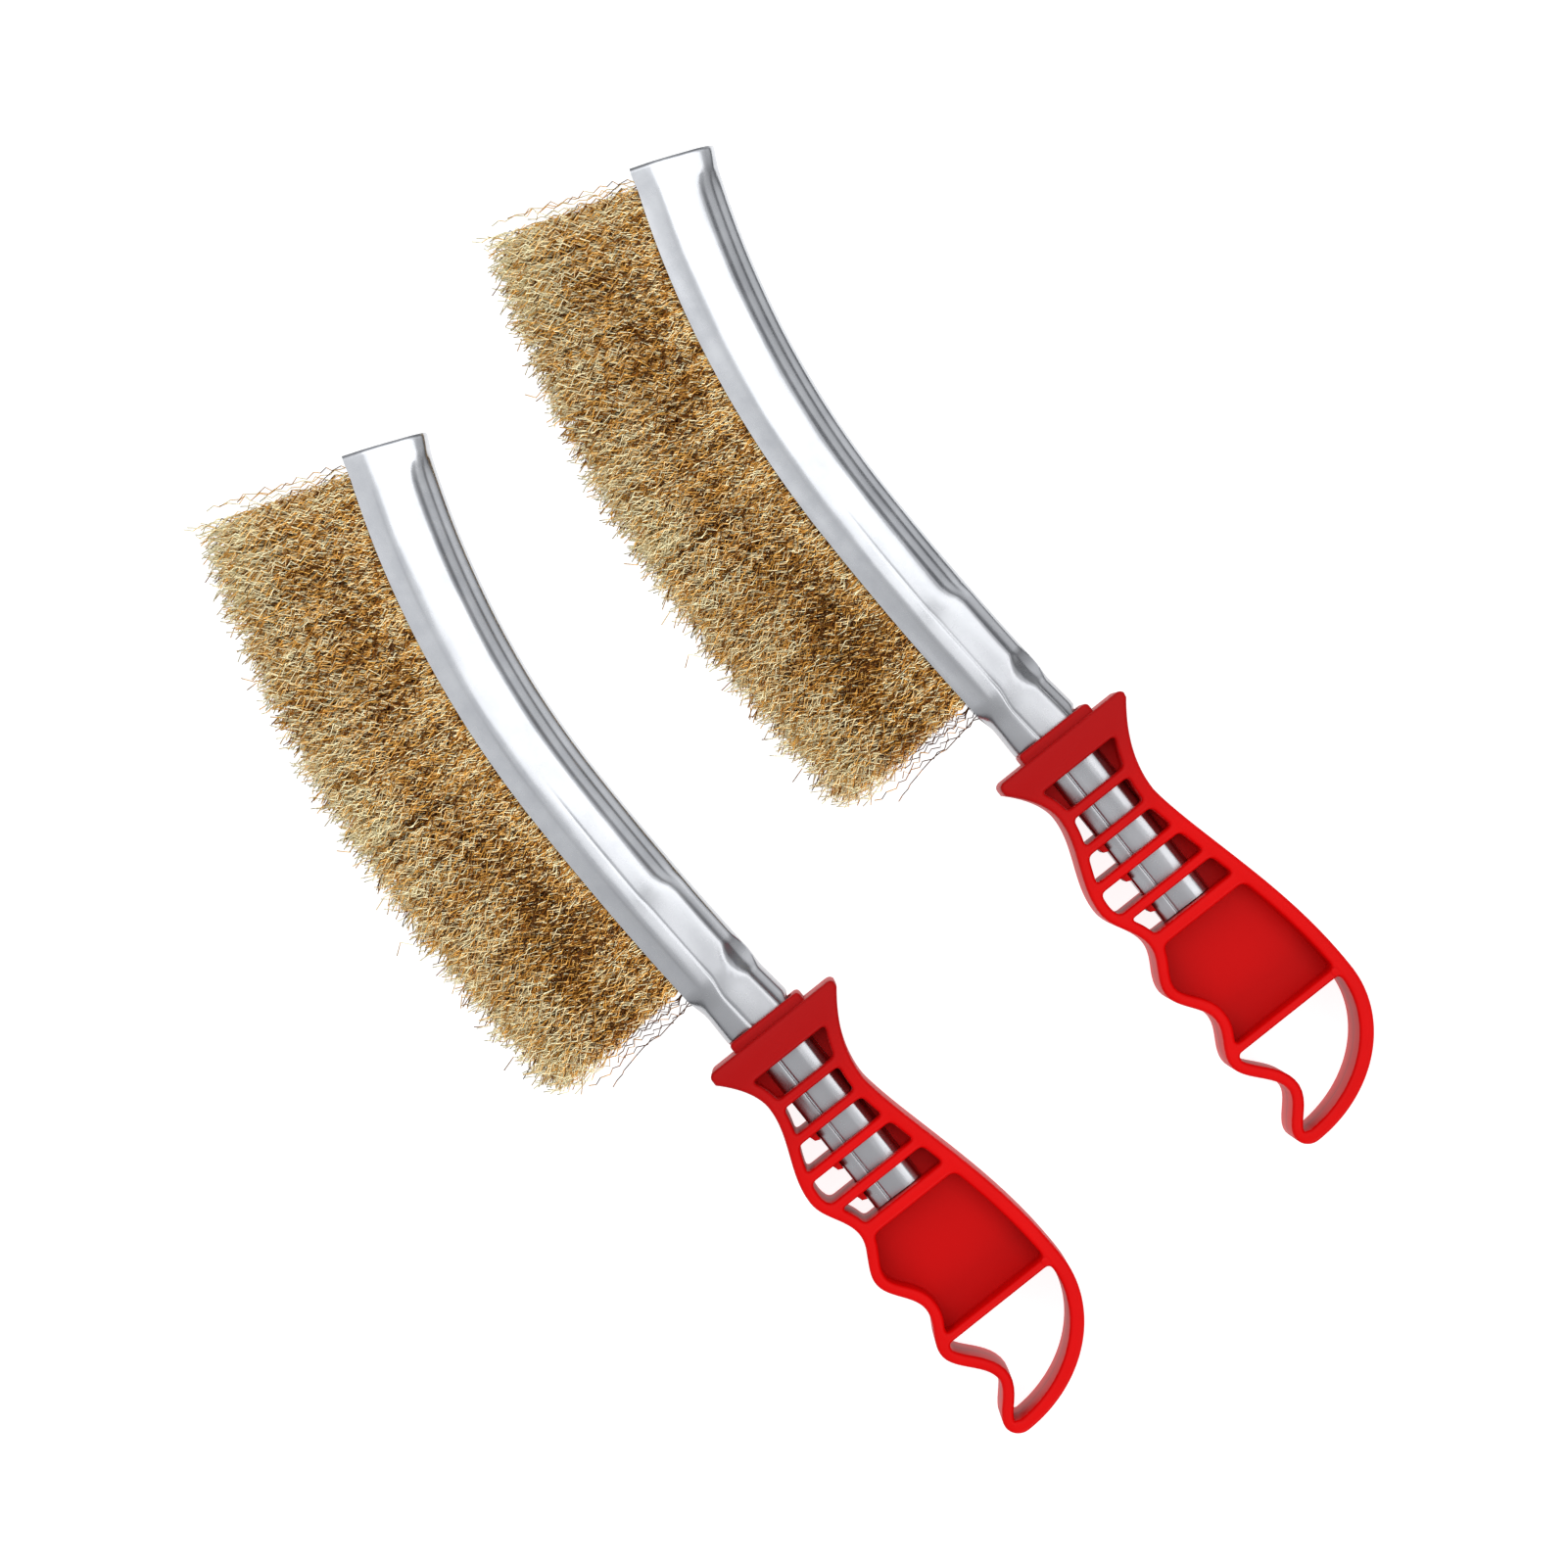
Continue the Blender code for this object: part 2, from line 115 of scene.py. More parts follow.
def make_active(obj: bpy.types.Object) -> None:
    """Select one object alone and make it active."""
    deselect_all()
    obj.select_set(True)
    bpy.context.view_layer.objects.active = obj


def apply_modifiers(obj: bpy.types.Object) -> None:
    """Apply every modifier of an object, in order."""
    make_active(obj)
    for modifier in list(obj.modifiers):
        bpy.ops.object.modifier_apply(modifier=modifier.name)


def round_edges(obj: bpy.types.Object, width_mm: float, segments: int) -> None:
    """Round every edge of a solid."""
    rounding = obj.modifiers.new("rounding", "BEVEL")
    rounding.width = width_mm * MM
    rounding.segments = segments
    apply_modifiers(obj)


def orient(obj: bpy.types.Object, merge: float = 0.0) -> None:
    """Turn all faces of a mesh the right way out.

    Args:
        obj: The mesh.
        merge: Corners closer than this, in metres, become one first.
    """
    make_active(obj)
    bpy.ops.object.mode_set(mode="EDIT")
    bpy.ops.mesh.select_all(action="SELECT")
    if merge:
        bpy.ops.mesh.remove_doubles(threshold=merge)
    bpy.ops.mesh.normals_make_consistent(inside=False)
    bpy.ops.object.mode_set(mode="OBJECT")


def shade_round(obj: bpy.types.Object, angle_deg: float) -> None:
    """Shade smooth, with edges over the angle kept sharp."""
    make_active(obj)
    bpy.ops.object.shade_smooth_by_angle(angle=math.radians(angle_deg))


@dataclass(frozen=True)
class Nodes:
    """Adds nodes to one tree. An input is a constant, a hex colour or another's output."""

    tree: bpy.types.NodeTree

    def feed(self, node: bpy.types.Node, inputs: dict[str | int, object]) -> None:
        """Set or link the inputs of a node."""
        for name, value in inputs.items():
            if isinstance(value, Socket):
                self.tree.links.new(value, node.inputs[name])
            else:
                node.inputs[name].default_value = (
                    linear(value) if isinstance(value, str) else value)

    def add(self, kind: str, inputs: dict[str | int, object] | None = None,
            **settings: object) -> bpy.types.bpy_prop_collection:
        """Add a node.

        Args:
            kind: The node's type without its prefix.
            inputs: What each input gets.
            **settings: Attributes of the node itself.

        Returns:
            The node's outputs.
        """
        node = self.tree.nodes.new("ShaderNode" + kind)
        for name, value in settings.items():
            setattr(node, name, value)
        self.feed(node, inputs or {})
        return node.outputs

    def place(self) -> Socket:
        """The place on the object, in metres."""
        return self.add("TexCoord")["Object"]

    def split(self, vector: Socket) -> bpy.types.bpy_prop_collection:
        """X, Y and Z of a vector."""
        return self.add("SeparateXYZ", {"Vector": vector})

    def stretched(self, vector: Socket, scale: tuple[float, float, float]) -> Socket:
        """A vector scaled along each axis."""
        return self.add("Mapping", {"Vector": vector, "Scale": scale})["Vector"]

    def noise(self, size_mm: float, vector: Socket, **inputs: float) -> Socket:
        """Noise whose lumps are about size_mm wide."""
        return self.add("TexNoise", {"Scale": 1 / (size_mm * MM), "Vector": vector,
                                     **inputs})["Fac"]

    def maths(self, operation: str, *values: object) -> Socket:
        """The result of one operation on one or two values."""
        return self.add("Math", dict(enumerate(values)), operation=operation)[0]

    def remap(self, value: Socket, source: Point = (0.0, 1.0),
              target: Point = (0.0, 1.0), **settings: object) -> Socket:
        """A value between two limits turned into one between two others."""
        return self.add("MapRange", {"Value": value, "From Min": source[0],
                                     "From Max": source[1], "To Min": target[0],
                                     "To Max": target[1]}, **settings)[0]

    def ramp(self, value: Socket, stops: Stops) -> Socket:
        """A value turned into a colour, by position and hex colour of each stop."""
        colours = self.add("ValToRGB", {"Fac": value})["Color"]
        elements = colours.node.color_ramp.elements
        while len(elements) < len(stops):
            elements.new(1.0)
        for element, (position, colour) in zip(elements, stops):
            element.position = position
            element.color = linear(colour)
        return colours

    def mix(self, part: Socket, first: object, second: object) -> Socket:
        """A blend of two colours."""
        return self.add("Mix", {"Factor": part, "A": first, "B": second},
                        data_type="RGBA")["Result"]

    def bump(self, height: Socket, strength: float, depth_mm: float) -> Socket:
        """The normal of a finely uneven surface."""
        return self.add("Bump", {"Height": height, "Strength": strength,
                                 "Distance": depth_mm * MM})["Normal"]


# ------------------------ finishes
@dataclass(frozen=True)
class Finish:
    """A named material; each kind says what its shader's inputs get."""

    name: str

    def inputs(self, nodes: Nodes) -> dict[str, object]:
        """What goes into each of the shader's inputs."""
        raise NotImplementedError

    def material(self) -> bpy.types.Material:
        """Build the material."""
        material = bpy.data.materials.new(self.name)
        material.use_nodes = True
        nodes = Nodes(material.node_tree)
        nodes.feed(nodes.tree.nodes["Principled BSDF"], self.inputs(nodes))
        return material


@dataclass(frozen=True)
class MouldedPolypropylene(Finish):
    """Red polypropylene, injection moulded in a two-part mould with a fine spark finish.

    The eye sees a saturated red with a broad satin highlight, a faint grain, slow flow
    marks and a thin parting line halfway up the inner and outer walls. Painted shade
    darkens the red near mid-height, on the web and deep in the pockets, and it darkens
    the red towards the guard.
    """

    guard_x: float
    colour: str = "D60203"
    deep_colour: str = "CC0101"
    # Painted shade: a darker red for the recesses, near mid-height
    recess_shade_colour: str = "BE0000"
    # Painted shade: a darker red towards the guard
    guard_shade_colour: str = "A6090A"
    line_colour: str = "8C0206"
    parting_height_mm: float = 10.0
    line_mm: Point = (0.12, 0.4)
    # Painted shade in the recesses: distances from mid-height where it is full and where it ends
    recess_shade_mm: Point = (1.2, 8.5)
    # Painted shade towards the guard: where it starts and where it is full, along x from the guard
    guard_shade_mm: Point = (-26.0, 1.0)
    grain_mm: float = 0.25
    grain_share: float = 0.35
    flow_mm: float = 22.0

    def inputs(self, nodes: Nodes) -> dict[str, object]:
        """What goes into each of the shader's inputs."""
        place = nodes.place()
        flow = nodes.noise(self.flow_mm, place, Detail=3.0, Roughness=0.5)
        where = nodes.split(place)
        off_line = nodes.maths("SUBTRACT", where["Z"], self.parting_height_mm * MM)
        distance = nodes.maths("ABSOLUTE", off_line)
        line = nodes.remap(distance, in_metres(self.line_mm))
        # Painted shade: darker red near mid-height, on the web and deep in the pockets
        outer = nodes.remap(distance, in_metres(self.recess_shade_mm))
        # Painted shade: a darker red that fades in over the windows towards the guard
        guard = nodes.remap(where["X"], in_metres(self.guard_shade_mm, self.guard_x))
        tint = nodes.ramp(flow, [(0.3, self.deep_colour), (0.62, self.colour)])
        tint = nodes.mix(guard, tint, self.guard_shade_colour)
        tint = nodes.mix(outer, self.recess_shade_colour, tint)
        grain = nodes.noise(self.grain_mm, place, Detail=2.0)
        relief = nodes.maths("ADD", nodes.maths("MULTIPLY", grain, self.grain_share), line)
        return {"Base Color": nodes.mix(line, self.line_colour, tint),
                "Roughness": nodes.remap(flow, target=(0.4, 0.52)),
                "Normal": nodes.bump(relief, 0.12, 0.1),
                "IOR": 1.49,
                "Specular IOR Level": 0.09,
                "Subsurface Weight": 0.08,
                "Subsurface Radius": (0.0016, 0.0003, 0.0002)}


@dataclass(frozen=True)
class PlatedSheetSteel(Finish):
    """Cold-formed mild steel sheet with bright zinc plating.

    The eye sees a pale, cool metal with slow waves from the press tool, a faint cloudiness
    of the plating, a duller end by the collar and fine drawing marks along the channel.
    """

    collar_x: float
    light: str = "CED0D3"
    cloudy: str = "C2C4C8"
    dull: str = "B2B3B6"
    dull_mm: Point = (0.0, 60.0)
    cloud_mm: float = 7.0
    scratch_mm: float = 0.3

    def inputs(self, nodes: Nodes) -> dict[str, object]:
        """What goes into each of the shader's inputs."""
        place = nodes.place()
        cloud = nodes.noise(self.cloud_mm, place, Detail=4.0, Roughness=0.6)
        tint = nodes.ramp(cloud, [(0.35, self.cloudy), (0.65, self.light)])
        bright = nodes.remap(nodes.split(place)["X"], in_metres(self.dull_mm, self.collar_x))
        drawn = nodes.stretched(place, (0.06, 1.0, 1.0))
        return {"Base Color": nodes.mix(bright, self.dull, tint),
                "Metallic": 1.0,
                "Roughness": nodes.remap(cloud, target=(0.2, 0.34)),
                "Normal": nodes.bump(nodes.noise(self.scratch_mm, drawn, Detail=3.0),
                                     0.05, 0.05)}


@dataclass(frozen=True)
class BrassedCrimpedWire(Finish):
    """Drawn high-carbon steel wire with a thin brass coat, crimped between toothed rolls.

    The eye sees pale gold where a wire catches the light and brown where it lies deep;
    they are painted highlights and painted shade, stored on each wire with its tone.
    """

    name: str = "brassed_crimped_wire"
    tone_attribute: str = "tone"
    tones: Stops = ((0.0, "56300C"), (0.1, "98580E"), (0.5, "F8BC5C"), (0.9, "FFF4C8"))

    def inputs(self, nodes: Nodes) -> dict[str, object]:
        """What goes into each of the shader's inputs."""
        tone = nodes.add("Attribute", attribute_name=self.tone_attribute)["Fac"]
        return {"Base Color": nodes.ramp(tone, self.tones), "Metallic": 0.8, "Roughness": 0.3}


@dataclass(frozen=True)
class FoldedWireRoot(Finish):
    """The folded ends of the wires, packed tight: fine parallel wires in deep shade."""

    name: str = "packed_wire_root"
    shade: str = "5A3A18"
    light: str = "B08046"
    wire_mm: float = 0.5

    def inputs(self, nodes: Nodes) -> dict[str, object]:
        """What goes into each of the shader's inputs."""
        rows = nodes.stretched(nodes.place(), (1.0, 0.15, 1.0))
        wires = nodes.noise(self.wire_mm, rows, Detail=1.0)
        return {"Base Color": nodes.ramp(wires, [(0.38, self.shade), (0.62, self.light)]),
                "Metallic": 0.8,
                "Roughness": 0.42,
                "Normal": nodes.bump(wires, 0.6, 0.2)}


@dataclass(frozen=True)
class DrawnSteelWire(Finish):
    """Plain drawn steel wire, dull grey with fine drawing marks."""

    name: str = "drawn_steel_wire"
    colour: str = "9FA1A4"
    mark_mm: float = 1 / 3

    def inputs(self, nodes: Nodes) -> dict[str, object]:
        """What goes into each of the shader's inputs."""
        marks = nodes.noise(self.mark_mm, nodes.place(), Detail=2.0)
        return {"Base Color": self.colour,
                "Metallic": 1.0,
                "Roughness": nodes.remap(marks, target=(0.34, 0.5))}


@dataclass(frozen=True)
class MattPaper(Finish):
    """Plain white paper lit faintly from below, as on a light table."""

    name: str = "matt_studio_paper"
    colour: str = "A0A0A0"
    glow: float = 0.9

    def inputs(self, nodes: Nodes) -> dict[str, object]:
        """What goes into each of the shader's inputs."""
        return {"Base Color": self.colour,
                "Roughness": 0.9,
                "Specular IOR Level": 0.1,
                "Emission Color": "FFFFFF",
                "Emission Strength": self.glow}


# ------------------------ the plane of a brush
@dataclass
class BrushPlane:
    """Turns a brush's own millimetres into world metres."""

    brush: Brush
    grip_end_x: float = -103.4
    heel_y: float = -16.6
    origin: Vector = field(init=False)

    def __post_init__(self) -> None:
        """Find the brush's own zero from the box of its grip."""
        low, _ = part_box(f"grip_{self.brush.value}")
        self.origin = Vector((low.x - self.grip_end_x * MM, low.y - self.heel_y * MM, 0.0))

    def world(self, points: np.ndarray) -> np.ndarray:
        """World metres of an array of own millimetres."""
        return points * MM + np.array(self.origin)

    def place(self, x: float, y: float, z: float) -> Vector:
        """World metres of one own point."""
        return self.origin + Vector((x, y, z)) * MM


@dataclass
class MiddleLine:
    """The line along the middle of the tang and the curved head."""

    mid_z: float = 10.0
    tang_y: float = 3.1
    bend_start: float = -3.0
    head_start: float = 20.0
    crown: Point = (70.0, 6.8)
    radius_before: float = 760.0
    radius_after: float = 226.5
    head_arc_deg: float = 22.45

    @property
    def tip(self) -> float:
        """Station of the head's cut end."""
        return self.crown[0] + self.radius_after * math.radians(self.head_arc_deg)

    def at(self, station: float) -> tuple[Point, float]:
        """Point and slope angle at a station.

        Args:
            station: x up to the crown, arc length beyond it.

        Returns:
            The point and the angle of the line to x.
        """
        crown_x, crown_y = self.crown
        if station > crown_x:
            angle = (station - crown_x) / self.radius_after
            x = crown_x + self.radius_after * math.sin(angle)
            return (x, crown_y - self.radius_after * (1 - math.cos(angle))), -angle
        if station >= self.head_start:
            fall = crown_x - station
            y = crown_y - fall ** 2 / (2 * self.radius_before)
            return (station, y), math.atan(fall / self.radius_before)
        if station <= self.bend_start:
            return (station, self.tang_y), 0.0
        (_, end_y), end_angle = self.at(self.head_start)
        run = self.head_start - self.bend_start
        t = (station - self.bend_start) / run
        rise = end_y - self.tang_y
        slope = math.tan(end_angle)
        y = self.tang_y + rise * t * t * (3 - 2 * t) + run * slope * t * t * (t - 1)
        turn = (rise * 6 * t * (1 - t) + run * slope * (3 * t * t - 2 * t)) / run
        return (station, y), math.atan(turn)

    def own(self, station: float, n: float, w: float) -> tuple[float, float, float]:
        """Own point at n across the line and w through its thickness."""
        (x, y), angle = self.at(station)
        return (x - n * math.sin(angle), y + n * math.cos(angle), self.mid_z + w)


# ------------------------ grip
@dataclass
class Grip:
    """The moulded grip: a rim around windows, a web panel and a hanging loop."""

    plane: BrushPlane
    finish: bpy.types.Material
    thick: float = 20.0
    finger_rim: float = 2.6
    palm_rim: float = 3.3
    edge_round: float = 0.9
    web_thick: float = 2.5
    finger_wave: tuple[Point, ...] = (
        (-12.0, 13.8), (-34.3, 19.7), (-46.5, 15.5), (-57.2, 19.5),
        (-68.5, 14.3), (-78.5, 18.0), (-90.5, 11.3), (-99.8, 16.8))
    guard_top: float = 19.9
    guard_crest: float = -0.9
    guard_bottom: float = -15.0
    guard_front: float = 1.8
    guard_back: float = -5.4
    waist: Point = (-20.0, -6.75)
    heel: Point = (-78.0, -16.6)
    end_x: float = -103.4
    tip_round: float = 3.8
    collar: tuple[float, float, float] = (-7.2, 12.2, 4.2)
    collar_thick: float = 16.0
    loop_wall: float = -77.6
    panel: Point = (-75.6, -48.4)
    windows: tuple[Point, ...] = (
        (-45.3, -39.6), (-37.3, -31.0), (-28.7, -22.8), (-20.6, -14.4), (-12.1, -5.4))
    tang_y: float = 3.1
    tang_half: float = 6.4
    neck_half: float = 7.9
    bore_half: float = 5.3
    snug: float = 0.03
    mouth_play: float = 0.6
    web_grow: float = 0.9
    gate_at: Point = (-76.5, -13.0)

    def finger_side(self, x: float) -> float:
        """Height of the finger side over x."""
        wave = self.finger_wave
        if x >= wave[0][0]:
            t = min((x - wave[0][0]) / (self.guard_crest - wave[0][0]), 1.0)
            return wave[0][1] + (self.guard_top - wave[0][1]) * t ** 1.8
        for (x0, y0), (x1, y1) in zip(wave, wave[1:]):
            if x >= x1:
                t = (x - x0) / (x1 - x0)
                return y0 + (y1 - y0) * (1 - math.cos(math.pi * t)) / 2
        return wave[-1][1]

    def palm_side(self, x: float) -> float:
        """Height of the palm side over x, from the guard to the heel."""
        waist_x, waist_y = self.waist
        if x >= waist_x:
            t = min((x - waist_x) / -waist_x, 1.0)
            return waist_y + (self.guard_bottom - waist_y) * t ** 2
        t = min((x - waist_x) / (self.heel[0] - waist_x), 1.0)
        return waist_y + (self.heel[1] - waist_y) * math.sin(t * math.pi / 2) ** 1.3

    @staticmethod
    def arc(centre: Point, radii: Point, start: float, end: float, steps: int) -> list[Point]:
        """Points of an elliptical arc between two angles in degrees."""
        turns = [math.radians(start + (end - start) * i / steps) for i in range(steps + 1)]
        return [(centre[0] + radii[0] * math.cos(a), centre[1] + radii[1] * math.sin(a))
                for a in turns]

    def outline(self, step: float = 0.9) -> list[Point]:
        """The grip's outline, anticlockwise from the bottom of the guard's front."""
        tip_x, tip_y = self.finger_wave[-1]
        crest = tip_y - self.tip_round
        front = self.guard_front
        points = self.arc((front - 1.5, self.guard_bottom + 1.5), (1.5, 1.5), 290, 360, 5)
        points += self.arc((front - 1.4, self.guard_top - 1.6), (1.4, 1.6), 0, 90, 6)
        points += [(x, self.finger_side(x)) for x in spread(front - 1.8, tip_x, step)]
        points += self.arc((tip_x, crest), (tip_x - self.end_x, self.tip_round), 90, 180, 10)[1:]
        points += self.arc((self.heel[0], crest),
                           (self.heel[0] - self.end_x, crest - self.heel[1]), 180, 270, 44)[1:]
        points += [(x, self.palm_side(x)) for x in spread(self.heel[0], -0.4, step)[1:]]
        return points

    def rounded(self, corner: Point, before: Point, after: Point, radius: float) -> list[Point]:
        """A rounded corner as a quadratic curve.

        Args:
            corner: The sharp corner.
            before: A point on the line that comes in.
            after: A point on the line that goes out.
            radius: How far from the corner the curve starts and ends.

        Returns:
            Five points of the curve.
        """
        centre = Vector(corner)
        start = centre + (Vector(before) - centre).normalized() * radius
        end = centre + (Vector(after) - centre).normalized() * radius
        curve = []
        for i in range(5):
            t = i / 4
            point = start * (1 - t) ** 2 + centre * 2 * t * (1 - t) + end * t ** 2
            curve.append((point.x, point.y))
        return curve

    @staticmethod
    def off_side(side: Callable[[float], float], x: float, depth: float) -> float:
        """Height over x of a line that follows a side at some depth."""
        slope = (side(x + 0.1) - side(x - 0.1)) / 0.2
        return side(x) + depth * math.hypot(1, slope)

    def pocket(self, x_low: float, x_high: float, y_low: float = -math.inf,
               y_high: float = math.inf, grow: float = 0.0, radius: float = 1.2
               ) -> list[Point]:
        """Outline of a pocket between two cross walls, bounded by the rim.

        Args:
            x_low: Left wall.
            x_high: Right wall.
            y_low: Lowest height, where that isn't the rim.
            y_high: Highest height, where that isn't the rim.
            grow: How far the outline reaches into the walls.
            radius: Rounding of the corners.

        Returns:
            The outline, anticlockwise.
        """
        def high(x: float) -> float:
            """The finger side of the pocket."""
            return min(self.off_side(self.finger_side, x, grow - self.finger_rim), y_high)

        def low(x: float) -> float:
            """The palm side of the pocket."""
            return max(self.off_side(self.palm_side, x, self.palm_rim - grow), y_low)

        def half(side: Callable[[float], float], start: float, end: float) -> list[Point]:
            """One side with the corners at its ends."""
            inward = math.copysign(radius, end - start)
            first, last = start + inward, end - inward
            return (self.rounded((start, side(start)), (start, middle), (first, side(first)),
                                 radius)
                    + [(x, side(x)) for x in spread(first, last, 1.0)[1:-1]]
                    + self.rounded((end, side(end)), (last, side(last)), (end, middle),
                                   radius))

        left, right = x_low - grow, x_high + grow
        middle = (high((left + right) / 2) + low((left + right) / 2)) / 2
        return half(low, left, right) + half(high, right, left)

    def loop_hole(self) -> list[Point]:
        """Outline of the D-shaped hanging loop."""
        outline = self.outline()
        kept = []
        tip_x = self.finger_wave[-1][0]
        for i, (x, y) in enumerate(outline):
            after = Vector(outline[(i + 1) % len(outline)])
            along = (after - Vector(outline[i - 1])).normalized()
            depth = self.finger_rim + (self.palm_rim - self.finger_rim) * smooth((along.x + 1) / 2)
            inner = (x - along.y * depth, y + along.x * depth)
            if inner[0] < self.loop_wall - 1.4 and not (x < tip_x and inner[1] > 13.0):
                kept.append(inner)
        top = (self.loop_wall, self.finger_side(self.loop_wall) - self.finger_rim)
        bottom = (self.loop_wall, self.heel[1] + self.palm_rim)
        middle = (self.loop_wall, (top[1] + bottom[1]) / 2)
        return (self.rounded(bottom, kept[-1], middle, 1.3)
                + self.rounded(top, middle, kept[0], 1.3) + kept)

    def plate(self, name: str, outlines: list[list[Point]], z_low: float, z_high: float,
              edge: float = 0.0) -> bpy.types.Object:
        """A plate with holes and rounded edges, as a closed mesh in own millimetres.

        Args:
            name: The object's name.
            outlines: The outer outline, then the holes.
            z_low: Lower face.
            z_high: Upper face.
            edge: Rounding of the edges.

        Returns:
            The mesh object.
        """
        curve = bpy.data.curves.new(name, "CURVE")
        curve.dimensions = "2D"
        curve.fill_mode = "BOTH"
        curve.extrude = ((z_high - z_low) / 2 - edge) * MM
        curve.bevel_depth = edge * MM
        curve.offset = -edge * MM
        curve.bevel_resolution = 3
        for outline in outlines:
            spline = curve.splines.new("POLY")
            spline.points.add(len(outline) - 1)
            for point, (x, y) in zip(spline.points, outline):
                point.co = (*self.plane.place(x, y, 0.0), 1.0)
            spline.use_cyclic_u = True
        plate = bpy.data.objects.new(name, curve)
        bpy.context.scene.collection.objects.link(plate)
        make_active(plate)
        bpy.ops.object.convert(target="MESH")
        plate.data.transform(plate.matrix_world)
        for vert in plate.data.vertices:
            vert.co.z += (z_low + z_high) / 2 * MM
        orient(plate, merge=0.01 * MM)
        return plate

    def tunnel(self, x_low: float, x_high: float, half_y: float) -> bpy.types.Object:
        """A rounded block along x that cuts the way for the tang."""
        centre = self.plane.place((x_low + x_high) / 2, self.tang_y, self.thick / 2)
        deselect_all()
        bpy.ops.mesh.primitive_cube_add(size=1.0, location=centre)
        block = bpy.context.object
        block.scale = ((x_high - x_low) * MM, 2 * half_y * MM, 2 * self.bore_half * MM)
        bpy.ops.object.transform_apply(location=True, rotation=True, scale=True)
        round_edges(block, 2.0, 3)
        return block

    def join(self, body: bpy.types.Object, tool: bpy.types.Object, operation: str) -> None:
        """Join or cut with an exact Boolean, and delete the tool."""
        modifier = body.modifiers.new(operation.lower(), "BOOLEAN")
        modifier.solver = "EXACT"
        modifier.operation = operation
        modifier.object = tool
        apply_modifiers(body)
        bpy.data.objects.remove(tool, do_unlink=True)

    def rest_pads(self) -> list[bpy.types.Object]:
        """Small moulded pads beside the ribs, which hold the tang from the finger side."""
        shape = ((-2.1, 9.3), (0.5, 9.3), (0.5, 11.2), (-0.9, 10.7), (-1.6, 10.5))
        return [self.plate("pad", [[(wall + x, y) for x, y in shape]], 4.5, 15.5, 0.2)
                for _, wall in self.windows[:3]]

    def gate_mark(self) -> bpy.types.Object:
        """The round stub left where the mould was filled."""
        centre = self.plane.place(*self.gate_at, self.thick - 0.15)
        deselect_all()
        bpy.ops.mesh.primitive_cylinder_add(vertices=24, radius=1.0 * MM, depth=0.6 * MM,
                                            location=centre)
        stub = bpy.context.object
        bpy.ops.object.transform_apply(location=True, rotation=True, scale=True)
        round_edges(stub, 0.18, 2)
        return stub

    def build(self) -> bpy.types.Object:
        """Model the grip and put it on its body."""
        tag = self.plane.brush.value
        holes = [self.loop_hole(), self.pocket(*self.panel, radius=1.6)]
        holes += [self.pocket(low, high) for low, high in self.windows]
        grip = self.plate(f"moulded_grip_{tag}", [self.outline()] + holes, 0.0, self.thick,
                          self.edge_round)
        middle = self.thick / 2
        web_low, web_high = middle - self.web_thick / 2, middle + self.web_thick / 2
        webs = [self.pocket(*self.panel, grow=self.web_grow)]
        webs += [self.pocket(low, high, y_high=self.tang_y - 5.0, grow=self.web_grow)
                 for low, high in self.windows]
        low, high = self.windows[-1]
        webs.append(self.pocket(low, high, y_low=self.tang_y + 4.6, grow=self.web_grow,
                                radius=0.5))
        parts = [self.plate("web", [outline], web_low, web_high) for outline in webs]
        low, high, front = self.collar
        half = self.collar_thick / 2
        lip = (self.arc((front - 1.0, low + 1.0), (1.0, 1.0), 270, 360, 4)
               + self.arc((front - 1.0, high - 1.0), (1.0, 1.0), 0, 90, 4)
               + [(0.2, high), (0.2, low)])
        parts.append(self.plate("collar", [lip], middle - half, middle + half, 0.8))
        for part in [*parts, *self.rest_pads(), self.gate_mark()]:
            self.join(grip, part, "UNION")
        bore = self.tunnel(self.windows[0][0], self.guard_back + 2.5,
                           self.tang_half + self.snug)
        mouth = self.tunnel(self.guard_back + 1.0, front + 3.0,
                            self.neck_half + self.mouth_play)
        for hole in (bore, mouth):
            self.join(grip, hole, "DIFFERENCE")
        orient(grip, merge=0.002 * MM)
        shade_round(grip, 38)
        grip.data.materials.clear()
        grip.data.materials.append(self.finish)
        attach(grip, f"brush_{tag}")
        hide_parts(f"grip_{tag}")
        return grip


